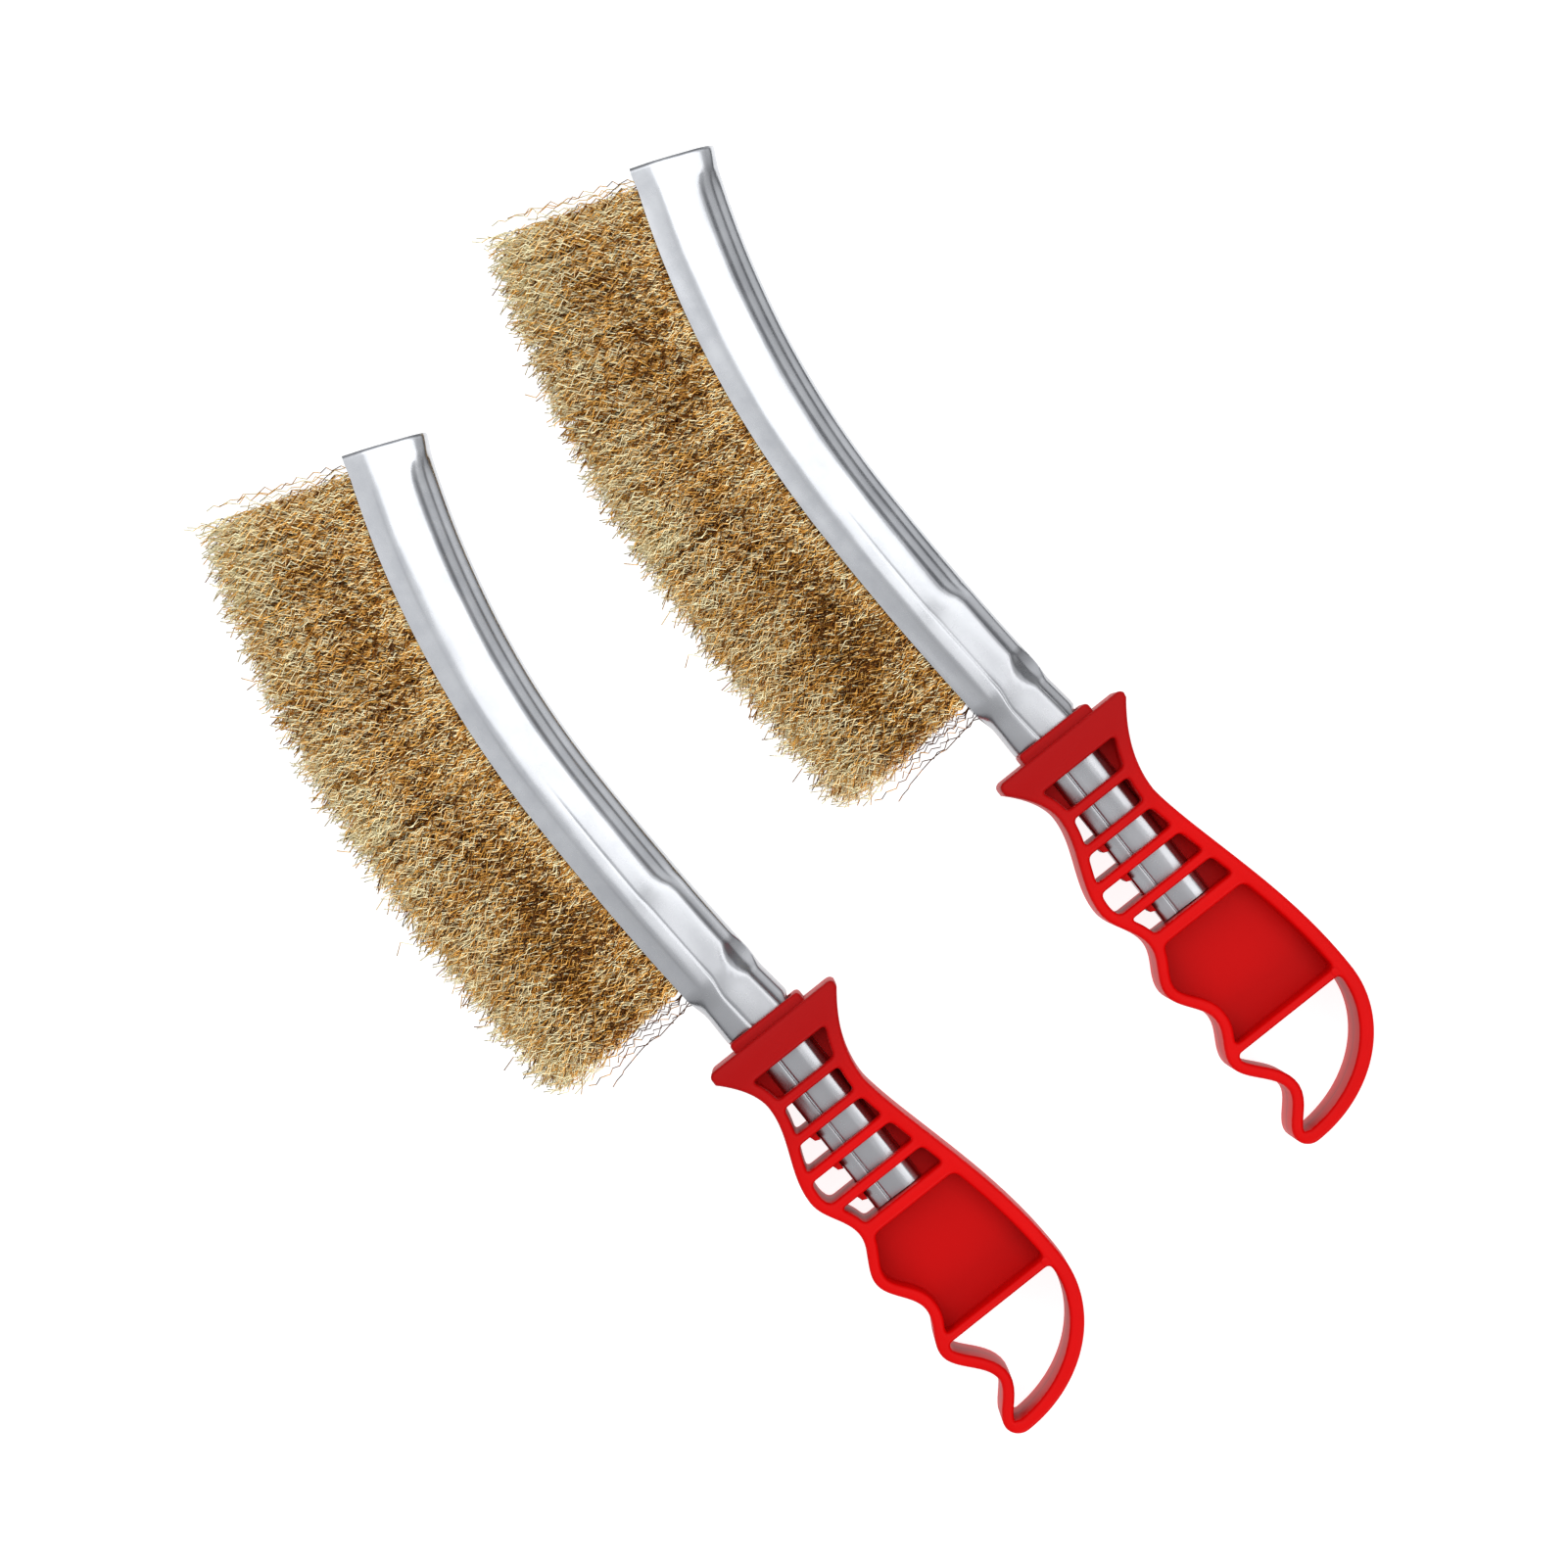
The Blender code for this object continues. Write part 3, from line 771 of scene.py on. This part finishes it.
# ------------------------ channel
@dataclass
class Channel:
    """The folded steel channel with its closed tang."""

    plane: BrushPlane
    line: MiddleLine
    finish: bpy.types.Material
    tang_start: float = -45.0
    tang_end: float = -3.0
    sheet: float = 0.9
    tang_half: float = 6.4
    neck_half: float = 7.9
    head_half: float = 8.5
    tip_half: float = 9.3
    tip_flare: float = 6.0
    # Sections are close together from the tang to dense_end, and at the cut end
    dense_end: float = 32.0
    steps: tuple[float, ...] = (3.0, 0.7, 2.0, 0.4)
    # Half sections from lip to back: share of the half width, half thickness in mm
    tang_section: tuple[Point, ...] = (
        (1.0, 0.4), (0.985, 1.8), (0.95, 2.7), (0.88, 3.0), (0.65, 3.4), (0.46, 3.8),
        (0.43, 3.7), (0.4, 3.3), (0.37, 3.65), (0.1, 4.15), (-0.15, 4.6), (-0.34, 4.93),
        (-0.45, 4.96), (-0.62, 4.82), (-0.7, 4.7), (-0.74, 4.55), (-0.82, 4.25), (-0.9, 3.9),
        (-0.96, 3.1), (-1.0, 1.0))
    neck_section: tuple[Point, ...] = (
        (1.0, 0.15), (0.99, 1.1), (0.95, 2.3), (0.86, 3.2), (0.7, 3.8), (0.45, 4.6),
        (0.3, 5.0), (0.25, 4.72), (0.2, 5.02), (0.1, 5.1), (-0.2, 5.25), (-0.5, 5.22),
        (-0.64, 5.15), (-0.71, 4.95), (-0.75, 4.6), (-0.82, 4.15), (-0.89, 3.85),
        (-0.93, 3.65), (-0.975, 2.8), (-1.0, 1.0))
    early_section: tuple[Point, ...] = (
        (1.0, 3.3), (0.93, 3.5), (0.75, 3.95), (0.56, 4.55), (0.48, 4.95), (0.36, 5.15),
        (0.14, 5.27), (0.09, 5.0), (0.04, 5.28), (-0.1, 5.32), (-0.35, 5.35), (-0.6, 5.25),
        (-0.7, 5.1), (-0.74, 4.88), (-0.79, 4.56), (-0.85, 4.24), (-0.9, 3.98),
        (-0.945, 3.72), (-0.98, 2.9), (-1.0, 1.4))
    late_section: tuple[Point, ...] = (
        (1.0, 3.3), (0.93, 3.5), (0.75, 4.0), (0.56, 4.6), (0.48, 5.0), (0.36, 5.25),
        (0.18, 5.42), (0.13, 5.15), (0.08, 5.45), (-0.1, 5.5), (-0.3, 5.45), (-0.47, 5.22),
        (-0.53, 4.95), (-0.61, 4.4), (-0.66, 4.2), (-0.79, 3.65), (-0.84, 3.25),
        (-0.89, 3.0), (-0.965, 2.4), (-1.0, 1.0))
    open_section: tuple[Point, ...] = (
        (1.0, 3.4), (0.93, 3.6), (0.75, 4.1), (0.56, 4.7), (0.48, 4.95), (0.36, 5.15),
        (0.18, 5.29), (0.13, 5.31), (0.08, 5.32), (-0.1, 5.35), (-0.35, 5.3), (-0.55, 5.22),
        (-0.66, 5.12), (-0.76, 4.95), (-0.83, 4.72), (-0.88, 4.42), (-0.92, 4.1),
        (-0.95, 3.7), (-0.98, 2.6), (-1.0, 1.0))
    # The flat pressed at the back of the neck: its top, its slopes and where they meet
    dent_at: Point = (17.4, -4.2)
    dent_length: float = 4.6
    dent_rise: float = 1.5
    dent_top: float = 5.2
    dent_slopes: Point = (0.77, 0.42)
    dent_foot: float = -7.0
    cut_edge_fall: float = 0.5
    cut_edge_length: float = 0.8
    back_bulge: float = 0.9
    neck_rise: float = 1.0
    collar_x: float = 3.6
    rise_length: float = 12.0

    def half_width(self, station: float) -> float:
        """Half of the channel's width in the plane of the brush."""
        neck = self.tang_half + (self.neck_half - self.tang_half) * smooth(
            (station - self.tang_end) / 4.0)
        head = neck + (self.head_half - self.neck_half) * smooth((station - 12.0) / 6.0)
        tip = self.line.tip
        crown = self.line.crown[0]
        grow = 0.35 * smooth((station - crown) / (tip - crown))
        flare = (self.tip_half - self.head_half - 0.35) * smooth(
            (station - tip + self.tip_flare) / self.tip_flare)
        return head + grow + flare

    def shares(self, station: float) -> list[Point]:
        """Blend of the half sections at a station."""
        steps = ((self.neck_section, -2.0, 4.5), (self.early_section, 12.5, 19.0),
                 (self.late_section, 38.5, 43.5),
                 (self.open_section, self.line.tip - 9.5, self.line.tip - 3.0))
        shape = np.array(self.tang_section)
        for after, start, end in steps:
            part = smooth((station - start) / (end - start))
            shape = shape * (1 - part) + np.array(after) * part
        crease = 0.35 * smooth((station - 18.0) / 6.0) + 0.65 * smooth((station - 60.0) / 22.0)
        shape[7, 1] += (shape[6:9:2, 1].mean() - shape[7, 1]) * crease
        return [tuple(row) for row in shape]

    def section(self, station: float) -> list[Point]:
        """Outer half section at a station, rounded by cutting its corners once."""
        half = self.half_width(station)
        outside = smooth((station - self.collar_x) / 1.4)
        raised = self.neck_rise * outside * (1 - smooth((station - 4.0) / self.rise_length))
        bulge = self.back_bulge * outside
        side = [(share * (half + raised) if share > 0 else
                 share * half - bulge * smooth((-share - 0.84) / 0.16), w)
                for share, w in self.shares(station)]
        cut = [side[0]]
        for (n0, w0), (n1, w1) in zip(side, side[1:]):
            cut.append((n0 * 0.75 + n1 * 0.25, w0 * 0.75 + w1 * 0.25))
            cut.append((n0 * 0.25 + n1 * 0.75, w0 * 0.25 + w1 * 0.75))
        return cut + [side[-1], (-half - bulge, 0.0)]

    def dented(self, station: float, n: float, w: float) -> float:
        """Thickness with the pressed flat at the back of the neck taken off."""
        along = (station - self.dent_at[0]) / self.dent_length
        edge = self.dent_at[1] - self.dent_rise * along ** 2
        foot = max(n, self.dent_foot)
        steep, shallow = self.dent_slopes
        limit = self.dent_top + (foot - edge) * steep + (n - foot) * shallow
        wave = 0.04 * math.sin(station * 0.31 + n * 0.4) + 0.03 * math.sin(station * 0.13 - n)
        rolled = self.cut_edge_fall * smooth(
            (station - self.line.tip + self.cut_edge_length) / self.cut_edge_length)
        return max(min(w + wave * smooth(w / 3) - rolled, limit if n < edge else w + 1.0), 0.0)

    def build(self) -> bpy.types.Object:
        """Shape a grid into the folded sheet and give it its thickness."""
        tag = self.plane.brush.value
        ends = (self.tang_start, self.tang_end, self.dense_end,
                self.line.tip - self.tip_flare, self.line.tip)
        stations = [self.tang_start]
        for start, end, step in zip(ends, ends[1:], self.steps):
            stations += spread(start, end, step)[1:]
        lines = []
        for station in stations:
            half = self.section(station)
            shaped = [(n, self.dented(station, n, w)) for n, w in half]
            lines.append(shaped + [(n, -w) for n, w in shaped[-2::-1]])
        deselect_all()
        bpy.ops.mesh.primitive_grid_add(x_subdivisions=len(lines[0]) - 1,
                                        y_subdivisions=len(stations) - 1, size=1.0)
        sheet = bpy.context.object
        sheet.name = f"pressed_channel_{tag}"
        own = [self.line.own(station, n, w) for station, line in zip(stations, lines)
               for n, w in line]
        world = self.plane.world(np.array(own))
        sheet.data.vertices.foreach_set("co", world.astype(np.float32).ravel())
        sheet.data.update()
        orient(sheet)
        wall = sheet.modifiers.new("sheet_thickness", "SOLIDIFY")
        wall.thickness = self.sheet * MM
        wall.offset = -1.0
        wall.use_even_offset = True
        apply_modifiers(sheet)
        shade_round(sheet, 40)
        sheet.data.materials.append(self.finish)
        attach(sheet, f"brush_{tag}")
        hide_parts(f"channel_{tag}")
        return sheet


# ------------------------ wires
@dataclass(frozen=True)
class LooseWires:
    """Wires that stand away from one end of a brush.

    Attributes:
        outward: -1 at the end by the grip, 1 at the cut end.
        count: How many.
        past: Least and greatest distance of their roots past the end.
        lean: Least and greatest shift of their tips along the channel.
        tone: Mean and spread of their tones.
    """

    outward: int
    count: int
    past: Point
    lean: Point
    tone: Point


@dataclass
class WireTrim:
    """The crimped wires of one brush, in tufts that lean about the channel's lips."""

    plane: BrushPlane
    line: MiddleLine
    finish: bpy.types.Material
    seed: int = 7
    tufts: int = 12
    wires_per_tuft: int = 660
    clump_size: int = 2
    start: float = 20.6
    end_deg: float = 21.2
    lip_n: float = 8.5
    root_depth: float = 4.5
    length: float = 34.3
    wire_radius: float = 0.135
    sides: int = 3
    rings: int = 20
    root_half: float = 2.0
    tip_half: float = 8.6
    crimp_height: float = 0.72
    first_loose: LooseWires = LooseWires(-1, 8, (0.2, 5.0), (-3.5, 2.0), (-0.62, 0.1))
    last_loose: LooseWires = LooseWires(1, 24, (-0.8, 2.2), (-1.5, 3.0), (-0.1, 0.25))
    end_pull: float = 2.5
    tangle: float = 0.16
    # Scatter of the roots along the channel and through its thickness, and of the bends
    root_scatter: Point = (0.5, 0.35)
    bend_scatter: float = 0.16
    # Spread of the clumps of wires: bend height, crimp direction, lean, length and tone
    clump_height: Point = (0.7, 1.3)
    clump_turn: float = 0.6
    clump_lean: float = 1.8
    clump_reach: float = 1.4
    clump_tone: float = 0.1
    # The same for single wires, and the share and excess of the long and the short ones
    wire_height: Point = (0.5, 1.5)
    wire_turn: float = 0.5
    wire_lean: float = 0.6
    wire_reach: float = 0.8
    wire_tone: float = 0.24
    long_share: float = 0.04
    long_by: Point = (0.5, 2.6)
    short_share: float = 0.6
    short_by: Point = (0.5, 9.0)
    # Spread of the painted glints on each straight stretch
    glint: float = 0.27
    # The lean at which the painted flank highlight is full
    full_flank: float = 0.35
    side_limit: float = 9.55
    # Where the wires get fewer towards the cut end, over what length, and by what share
    thin_from: float = 146.0
    thin_over: float = 7.0
    thin_share: float = 0.55
    # Where the wires near the cut end start to be pulled back and made paler with painted
    # light, and over what length
    end_from: float = 138.0
    end_over: float = 16.0
    # Near the grip the wires stand a little more upright than the channel asks
    upright_rad: float = 0.07
    upright_until: float = 40.0
    # Painted highlight: stretches that lean one way are lighter, the others darker
    painted_flank_strength: float = 0.22
    wander: float = 0.3
    ragged: float = 0.9
    bend_over: float = 11.0

    def centre(self, number: int) -> tuple[float, float]:
        """Station of a tuft's middle, and the tuft's pitch."""
        end = self.line.crown[0] + self.line.radius_after * math.radians(self.end_deg)
        pitch = (end - self.start) / self.tufts
        return self.start + pitch * (number - 0.5), pitch

    def near_end(self, station: np.ndarray) -> np.ndarray:
        """How near the cut end each station is, from 0 to 1."""
        return np.clip((station - self.end_from) / self.end_over, 0.0, 1.0)

    def painted_light_and_patches(self, station: np.ndarray, n: np.ndarray) -> np.ndarray:
        """Slow patches, painted shade and painted light over the side of the brush.

        Darker in the dense middle of the wires, with painted shade; paler at the sparse tips
        and towards the cut end, with painted light.
        """
        return (0.52 - 0.2 * np.exp(-((n - 13.0) / 8.0) ** 2)
                * (0.7 + 0.8 * np.exp(-((station - 50.0) / 20.0) ** 2))
                + 0.3 * np.clip((n - 21.0) / 10.0, 0.0, 1.0)
                + 0.2 * self.near_end(station)
                + 0.1 * np.sin(station * 0.11 + 1.3) * np.cos(n * 0.3 + 0.4)
                + 0.07 * np.sin(station * 0.37 + n * 0.21))

    def lean_right(self, paths: np.ndarray, middle: float) -> np.ndarray:
        """How far each stretch of each wire leans along the channel, as a slope."""
        angle = self.line.at(middle)[1]
        steps = np.diff(paths, axis=1)
        along = steps[..., 0] * math.cos(angle) + steps[..., 1] * math.sin(angle)
        up = steps[..., 1] * math.cos(angle) - steps[..., 0] * math.sin(angle)
        return along / np.maximum(up, 0.1)

    def wire_paths(self, station: np.ndarray, root_w: np.ndarray, lean: np.ndarray,
                   side_lean: np.ndarray, reach: np.ndarray, side: np.ndarray,
                   turn: np.ndarray, height: np.ndarray, spacing: np.ndarray,
                   tangle: np.ndarray) -> np.ndarray:
        """Middle lines of wires, in own millimetres.

        Args:
            station: Station of each root.
            root_w: Place of each root through the thickness.
            lean: Shift of each tip along the channel.
            side_lean: Shift of each tip through the thickness.
            reach: Free length of each wire.
            side: Side on which each crimp starts, -1 or 1.
            turn: Direction of each crimp wave, in radians.
            height: Half height of each bend of each wire.
            spacing: Shift of each bend along its wire, in bends.
            tangle: Random sideways shifts of each ring, through and along.

        Returns:
            Array of wires by rings by three.
        """
        t = (np.arange(self.rings)[None, :] + np.clip(spacing, -0.4, 0.4)) / (self.rings - 1)
        run = -self.root_depth + t * (reach[:, None] + self.root_depth)
        out = np.clip(run / reach[:, None], 0.0, 1.0)
        growth = np.clip((run + 1.0) / 3.0, 0.0, 1.0)
        swing = height * growth * side[:, None] * (-1.0) ** np.arange(self.rings)[None, :]
        fan = self.tip_half / self.root_half
        w = root_w[:, None] * (1 + (fan - 1) * out) + side_lean[:, None] * out ** 1.4
        w = w + swing * np.sin(turn[:, None]) + tangle[..., 0] * growth
        w = np.clip(w, -self.side_limit, self.side_limit)
        lean = lean - self.end_pull * self.near_end(station)
        along = lean[:, None] * out ** 1.3 + swing * np.cos(turn[:, None])
        along = along + tangle[..., 1] * growth
        base = np.array([self.line.own(s, 0.0, 0.0) for s in station])
        angle = np.array([self.line.at(s)[1] for s in station])
        upright = (np.minimum(np.abs(angle), self.upright_rad) * np.sign(angle)
                   * (station < self.upright_until))
        tilt = angle - upright
        n = self.lip_n + run
        x = base[:, :1] - n * np.sin(tilt)[:, None] + along * np.cos(tilt)[:, None]
        y = base[:, 1:2] + n * np.cos(tilt)[:, None] + along * np.sin(tilt)[:, None]
        return np.stack([x, y, base[:, 2:] + w], axis=2)

    def tube_mesh(self, name: str, paths: np.ndarray, tone: np.ndarray) -> bpy.types.Object:
        """One mesh of thin closed tubes.

        Args:
            name: The object's name.
            paths: Wires by rings by three, in own millimetres.
            tone: Lightness of each straight stretch of each wire.

        Returns:
            The mesh object.
        """
        count, rings, _ = paths.shape
        tangent = np.gradient(paths, axis=1)
        tangent /= np.linalg.norm(tangent, axis=2, keepdims=True)
        across = np.array([0.8, 0.0, 0.6])
        side = across - tangent * (tangent @ across)[..., None]
        side /= np.linalg.norm(side, axis=2, keepdims=True)
        other = np.cross(tangent, side)
        turns = 2 * np.pi * np.arange(self.sides) / self.sides
        spokes = (side[:, :, None, :] * np.cos(turns)[None, None, :, None]
                  + other[:, :, None, :] * np.sin(turns)[None, None, :, None])
        verts = self.plane.world(
            (paths[:, :, None, :] + spokes * self.wire_radius).reshape(-1, 3))
        ring = np.arange(self.sides)
        wire = (np.arange(count) * rings * self.sides)[:, None, None]
        level = (np.arange(rings - 1) * self.sides)[None, :, None]
        first = wire + level + ring[None, None, :]
        second = wire + level + ((ring + 1) % self.sides)[None, None, :]
        quads = np.stack([first, second, second + self.sides, first + self.sides], axis=3)
        start_caps = wire[:, 0, :] + ring[::-1][None, :]
        end_caps = wire[:, 0, :] + (rings - 1) * self.sides + ring[None, :]
        loops = np.concatenate([quads.ravel(), start_caps.ravel(), end_caps.ravel()])
        sizes = np.concatenate([np.full(quads.size // 4, 4),
                                np.full(2 * count, self.sides)])
        mesh = bpy.data.meshes.new(name)
        mesh.vertices.add(len(verts))
        mesh.vertices.foreach_set("co", verts.astype(np.float32).ravel())
        mesh.loops.add(len(loops))
        mesh.loops.foreach_set("vertex_index", loops.astype(np.int32))
        mesh.polygons.add(len(sizes))
        starts = np.concatenate([[0], np.cumsum(sizes)[:-1]])
        mesh.polygons.foreach_set("loop_start", starts.astype(np.int32))
        mesh.polygons.foreach_set("use_smooth", np.ones(len(sizes), dtype=bool))
        mesh.update(calc_edges=True)
        faces = np.concatenate([np.repeat(tone.ravel(), self.sides), tone[:, 0], tone[:, -1]])
        shade = mesh.attributes.new("tone", "FLOAT", "FACE")
        shade.data.foreach_set("value", faces.astype(np.float32))
        obj = bpy.data.objects.new(name, mesh)
        bpy.context.scene.collection.objects.link(obj)
        return obj

    def build_tuft(self, number: int) -> bpy.types.Object:
        """Model one tuft and hide the carried-over one."""
        tag = self.plane.brush.value
        rng = np.random.default_rng(self.seed * 100 + number)
        middle, pitch = self.centre(number)
        clumps = self.wires_per_tuft // self.clump_size
        clump_station = middle + pitch * ((rng.permutation(clumps) + rng.random(clumps))
                                          / clumps - 0.5)
        clump_w = rng.uniform(-1.0, 1.0, clumps) * self.root_half
        clump_side = rng.choice([-1.0, 1.0], clumps)
        clump_turn = rng.normal(0.0, self.clump_turn, clumps)
        clump_height = self.crimp_height * rng.uniform(*self.clump_height, clumps)
        clump_lean = rng.normal(0.0, self.clump_lean, clumps)
        clump_reach = rng.normal(0.0, self.clump_reach, clumps)
        clump_tone = rng.normal(0.0, self.clump_tone, clumps)
        which = np.repeat(np.arange(clumps), self.clump_size)
        count = len(which)
        station = clump_station[which] + rng.normal(0, self.root_scatter[0], count)
        low, high = middle - pitch / 2, middle + pitch / 2
        station = low + np.abs(station - low)
        station = high - np.abs(high - station)
        root_w = np.clip(clump_w[which] + rng.normal(0, self.root_scatter[1], count),
                         -self.root_half, self.root_half)
        reach = self.length + clump_reach[which] + rng.normal(0, self.wire_reach, count)
        reach += self.ragged * np.sin(station * 0.8 + 0.9 * np.sin(station * 2.3))
        reach += (rng.random(count) < self.long_share) * rng.uniform(*self.long_by, count)
        reach -= (rng.random(count) < self.short_share) * rng.uniform(*self.short_by, count)
        paths = self.wire_paths(
            station, root_w, clump_lean[which] + rng.normal(0, self.wire_lean, count),
            rng.normal(0, self.wire_lean, count), reach, clump_side[which],
            clump_turn[which] + rng.normal(0, self.wire_turn, count),
            clump_height[which][:, None] * rng.uniform(*self.wire_height,
                                                       (count, self.rings)),
            rng.normal(0, self.bend_scatter, (count, self.rings)),
            rng.normal(0, self.tangle, (count, self.rings, 2)))
        tone = clump_tone[which] + rng.normal(0, self.wire_tone, count)
        thin = self.thin_share * np.clip((station - self.thin_from) / self.thin_over, 0.0, 1.0)
        kept = rng.random(count) > thin
        paths, tone, station = paths[kept], tone[kept], station[kept]
        loose = {1: self.first_loose, self.tufts: self.last_loose}.get(number)
        if loose:
            end = middle + loose.outward * pitch / 2
            loose_paths, loose_tone = self.loose_wires(rng, loose, end)
            paths = np.concatenate([paths, loose_paths])
            tone = np.concatenate([tone, loose_tone])
            station = np.concatenate([station, np.full(loose.count, middle)])
        run = np.linspace(-self.root_depth, self.length, self.rings)[None, :-1]
        glint = rng.normal(0, self.glint, (len(tone), self.rings - 1))
        # Painted highlight on the stretches that lean one way, painted shade on the others
        slope = np.clip(self.lean_right(paths, middle) / self.full_flank, -1.0, 1.0)
        painted_flank_highlight = slope * self.painted_flank_strength
        # Each stretch's tone: the wire's own, plus painted glints, painted flank light and painted
        # light and shade
        shade = tone[:, None] + glint + painted_flank_highlight + self.painted_light_and_patches(station[:, None], run)
        tuft = self.tube_mesh(f"crimped_wires_{tag}_{number:02d}", paths,
                              np.clip(shade, 0.0, 1.0))
        tuft.data.materials.append(self.finish)
        low_point, high_point = [
            self.plane.place(*self.line.own(middle, n, 0.0))
            for n in (self.lip_n, self.lip_n + self.bend_over)]
        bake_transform(tuft)
        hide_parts(f"tuft_{tag}_{number:02d}")
        return tuft

    def loose_wires(self, rng: np.random.Generator, loose: LooseWires, end: float
                    ) -> tuple[np.ndarray, np.ndarray]:
        """Loose wires that stand away from an end of the brush.

        Args:
            rng: The tuft's random numbers.
            loose: How many, and how they stand.
            end: Station of the end.

        Returns:
            Their middle lines and their tones.
        """
        count = loose.count
        station = end + loose.outward * rng.uniform(*loose.past, count)
        lean = rng.uniform(*loose.lean, count)
        tone = rng.normal(*loose.tone, count)
        paths = self.wire_paths(
            station, rng.uniform(-1.5, 1.5, count), lean, rng.normal(0, 1.5, count),
            self.length * rng.uniform(0.55, 1.02, count), rng.choice([-1.0, 1.0], count),
            rng.normal(0, self.wire_turn, count),
            self.crimp_height * rng.uniform(0.2, 1.0, (count, self.rings)),
            rng.normal(0, 0.2, (count, self.rings)),
            np.cumsum(rng.normal(0, self.wander, (count, self.rings, 2)), axis=1))
        return paths, tone

    def build(self) -> list[bpy.types.Object]:
        """Model every tuft of the brush."""
        return [self.build_tuft(number) for number in range(1, self.tufts + 1)]


# ------------------------ one brush
@dataclass
class ScratchBrush:
    """One whole brush: grip, channel, wires and the hidden root and core wire."""

    brush: Brush
    wire: bpy.types.Material
    root: bpy.types.Material
    core: bpy.types.Material
    guard_back: float = -5.0
    collar_front: float = 4.5

    def restyle(self, node: str, finish: bpy.types.Material) -> None:
        """Give a carried-over solid its finish."""
        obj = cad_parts[node]
        obj.data.materials.clear()
        obj.data.materials.append(finish)

    def build(self) -> None:
        """Build all of the brush's pieces and report them."""
        tag = self.brush.value
        plane = BrushPlane(self.brush)
        line = MiddleLine()
        guard_x = plane.place(self.guard_back, 0.0, 0.0).x
        plastic = MouldedPolypropylene(f"moulded_polypropylene_red_{tag}", guard_x).material()
        grip = Grip(plane, plastic).build()
        LOG.info("%s: %d faces", grip.name, len(grip.data.polygons))
        collar_x = plane.place(self.collar_front, 0.0, 0.0).x
        steel = PlatedSheetSteel(f"bright_zinc_plated_steel_{tag}", collar_x).material()
        channel = Channel(plane, line, steel).build()
        LOG.info("%s: %d faces", channel.name, len(channel.data.polygons))
        for tuft in WireTrim(plane, line, self.wire).build():
            LOG.info("%s: %d faces", tuft.name, len(tuft.data.polygons))
        self.restyle(f"wire_root_{tag}", self.root)
        self.restyle(f"core_wire_{tag}", self.core)


# ------------------------ studio
@dataclass(frozen=True)
class SoftLamp:
    """A rectangular soft lamp that looks straight down, or at the brushes."""

    name: str
    place: tuple[float, float, float]
    length: float
    width: float
    power: float
    aimed: bool = False

    def build(self) -> None:
        """Hang the lamp."""
        data = bpy.data.lights.new(self.name, "AREA")
        data.shape = "RECTANGLE"
        data.size = self.length
        data.size_y = self.width
        data.energy = self.power
        lamp = bpy.data.objects.new(self.name, data)
        lamp.location = self.place
        if self.aimed:
            lamp.rotation_euler = (-Vector(self.place)).to_track_quat("-Z", "Y").to_euler()
        bpy.context.scene.collection.objects.link(lamp)


@dataclass
class Studio:
    """Glowing paper, three soft lamps, a dim room and the camera straight above."""

    floor_size: float = 6.0
    floor_gap: float = 0.0001
    frame_mm: float = 345.8
    camera_height: float = 0.92
    sharp_height: float = 0.02
    turn_deg: float = -128.5
    aim: Point = (0.0048, -0.0039)
    lamps: tuple[SoftLamp, ...] = (
        SoftLamp("overhead", (1.08, -0.12, 1.5), 2.3, 1.5, 12.2),
        SoftLamp("back_strip", (-1.05, -0.58, 1.5), 1.9, 0.65, 6.4),
        SoftLamp("grip_side", (-1.6, 0.2, 1.1), 1.0, 1.0, 11.0, aimed=True))
    # Height above the horizon, as the sine of the angle, and colour
    sky_stops: Stops = (
        (0.0, "4C4D50"), (0.24, "5A5B5E"), (0.42, "B8B9BC"), (0.55, "E2E3E5"),
        (0.85, "E4E5E7"))

    def floor(self) -> None:
        """A wide sheet of white paper just under the brushes."""
        deselect_all()
        bpy.ops.mesh.primitive_plane_add(size=self.floor_size,
                                         location=(0.0, 0.0, -self.floor_gap))
        paper = bpy.context.object
        paper.name = "studio_floor"
        bpy.ops.object.transform_apply(location=True, rotation=True, scale=True)
        paper.data.materials.append(MattPaper().material())

    def sky(self) -> None:
        """A room that is dark near the floor and lighter overhead and towards the heads."""
        world = bpy.data.worlds.new("soft_room")
        bpy.context.scene.world = world
        world.use_nodes = True
        nodes = Nodes(world.node_tree)
        nodes.tree.nodes.clear()
        way = nodes.split(nodes.add("TexCoord")["Generated"])
        brighter = nodes.remap(way["X"], (-0.35, 0.35), (0.72, 1.28),
                               interpolation_type="SMOOTHSTEP")
        light = nodes.add("Background", {"Color": nodes.ramp(way["Z"], self.sky_stops),
                                         "Strength": brighter})
        nodes.add("OutputWorld", {"Surface": light[0]})

    def camera(self) -> None:
        """A long lens straight above the pair, turned so the grips point down right."""
        data = bpy.data.cameras.new("camera")
        data.sensor_width = 36.0
        data.lens = (data.sensor_width * (self.camera_height - self.sharp_height)
                     / (self.frame_mm * MM))
        camera = bpy.data.objects.new("camera", data)
        camera.location = (*self.aim, self.camera_height)
        camera.rotation_euler = (0.0, 0.0, math.radians(self.turn_deg))
        bpy.context.scene.collection.objects.link(camera)
        bpy.context.scene.camera = camera

    def build(self) -> None:
        """Set up floor, light and camera."""
        bpy.context.scene.view_settings.view_transform = "Standard"
        self.floor()
        self.sky()
        for lamp in self.lamps:
            lamp.build()
        self.camera()


def main() -> None:
    """Build the studio and both brushes."""
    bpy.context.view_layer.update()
    Studio().build()
    finishes = [finish.material() for finish in (
        BrassedCrimpedWire(), FoldedWireRoot(), DrawnSteelWire())]
    for brush in Brush:
        ScratchBrush(brush, *finishes).build()


if __name__ == "__main__":
    main()
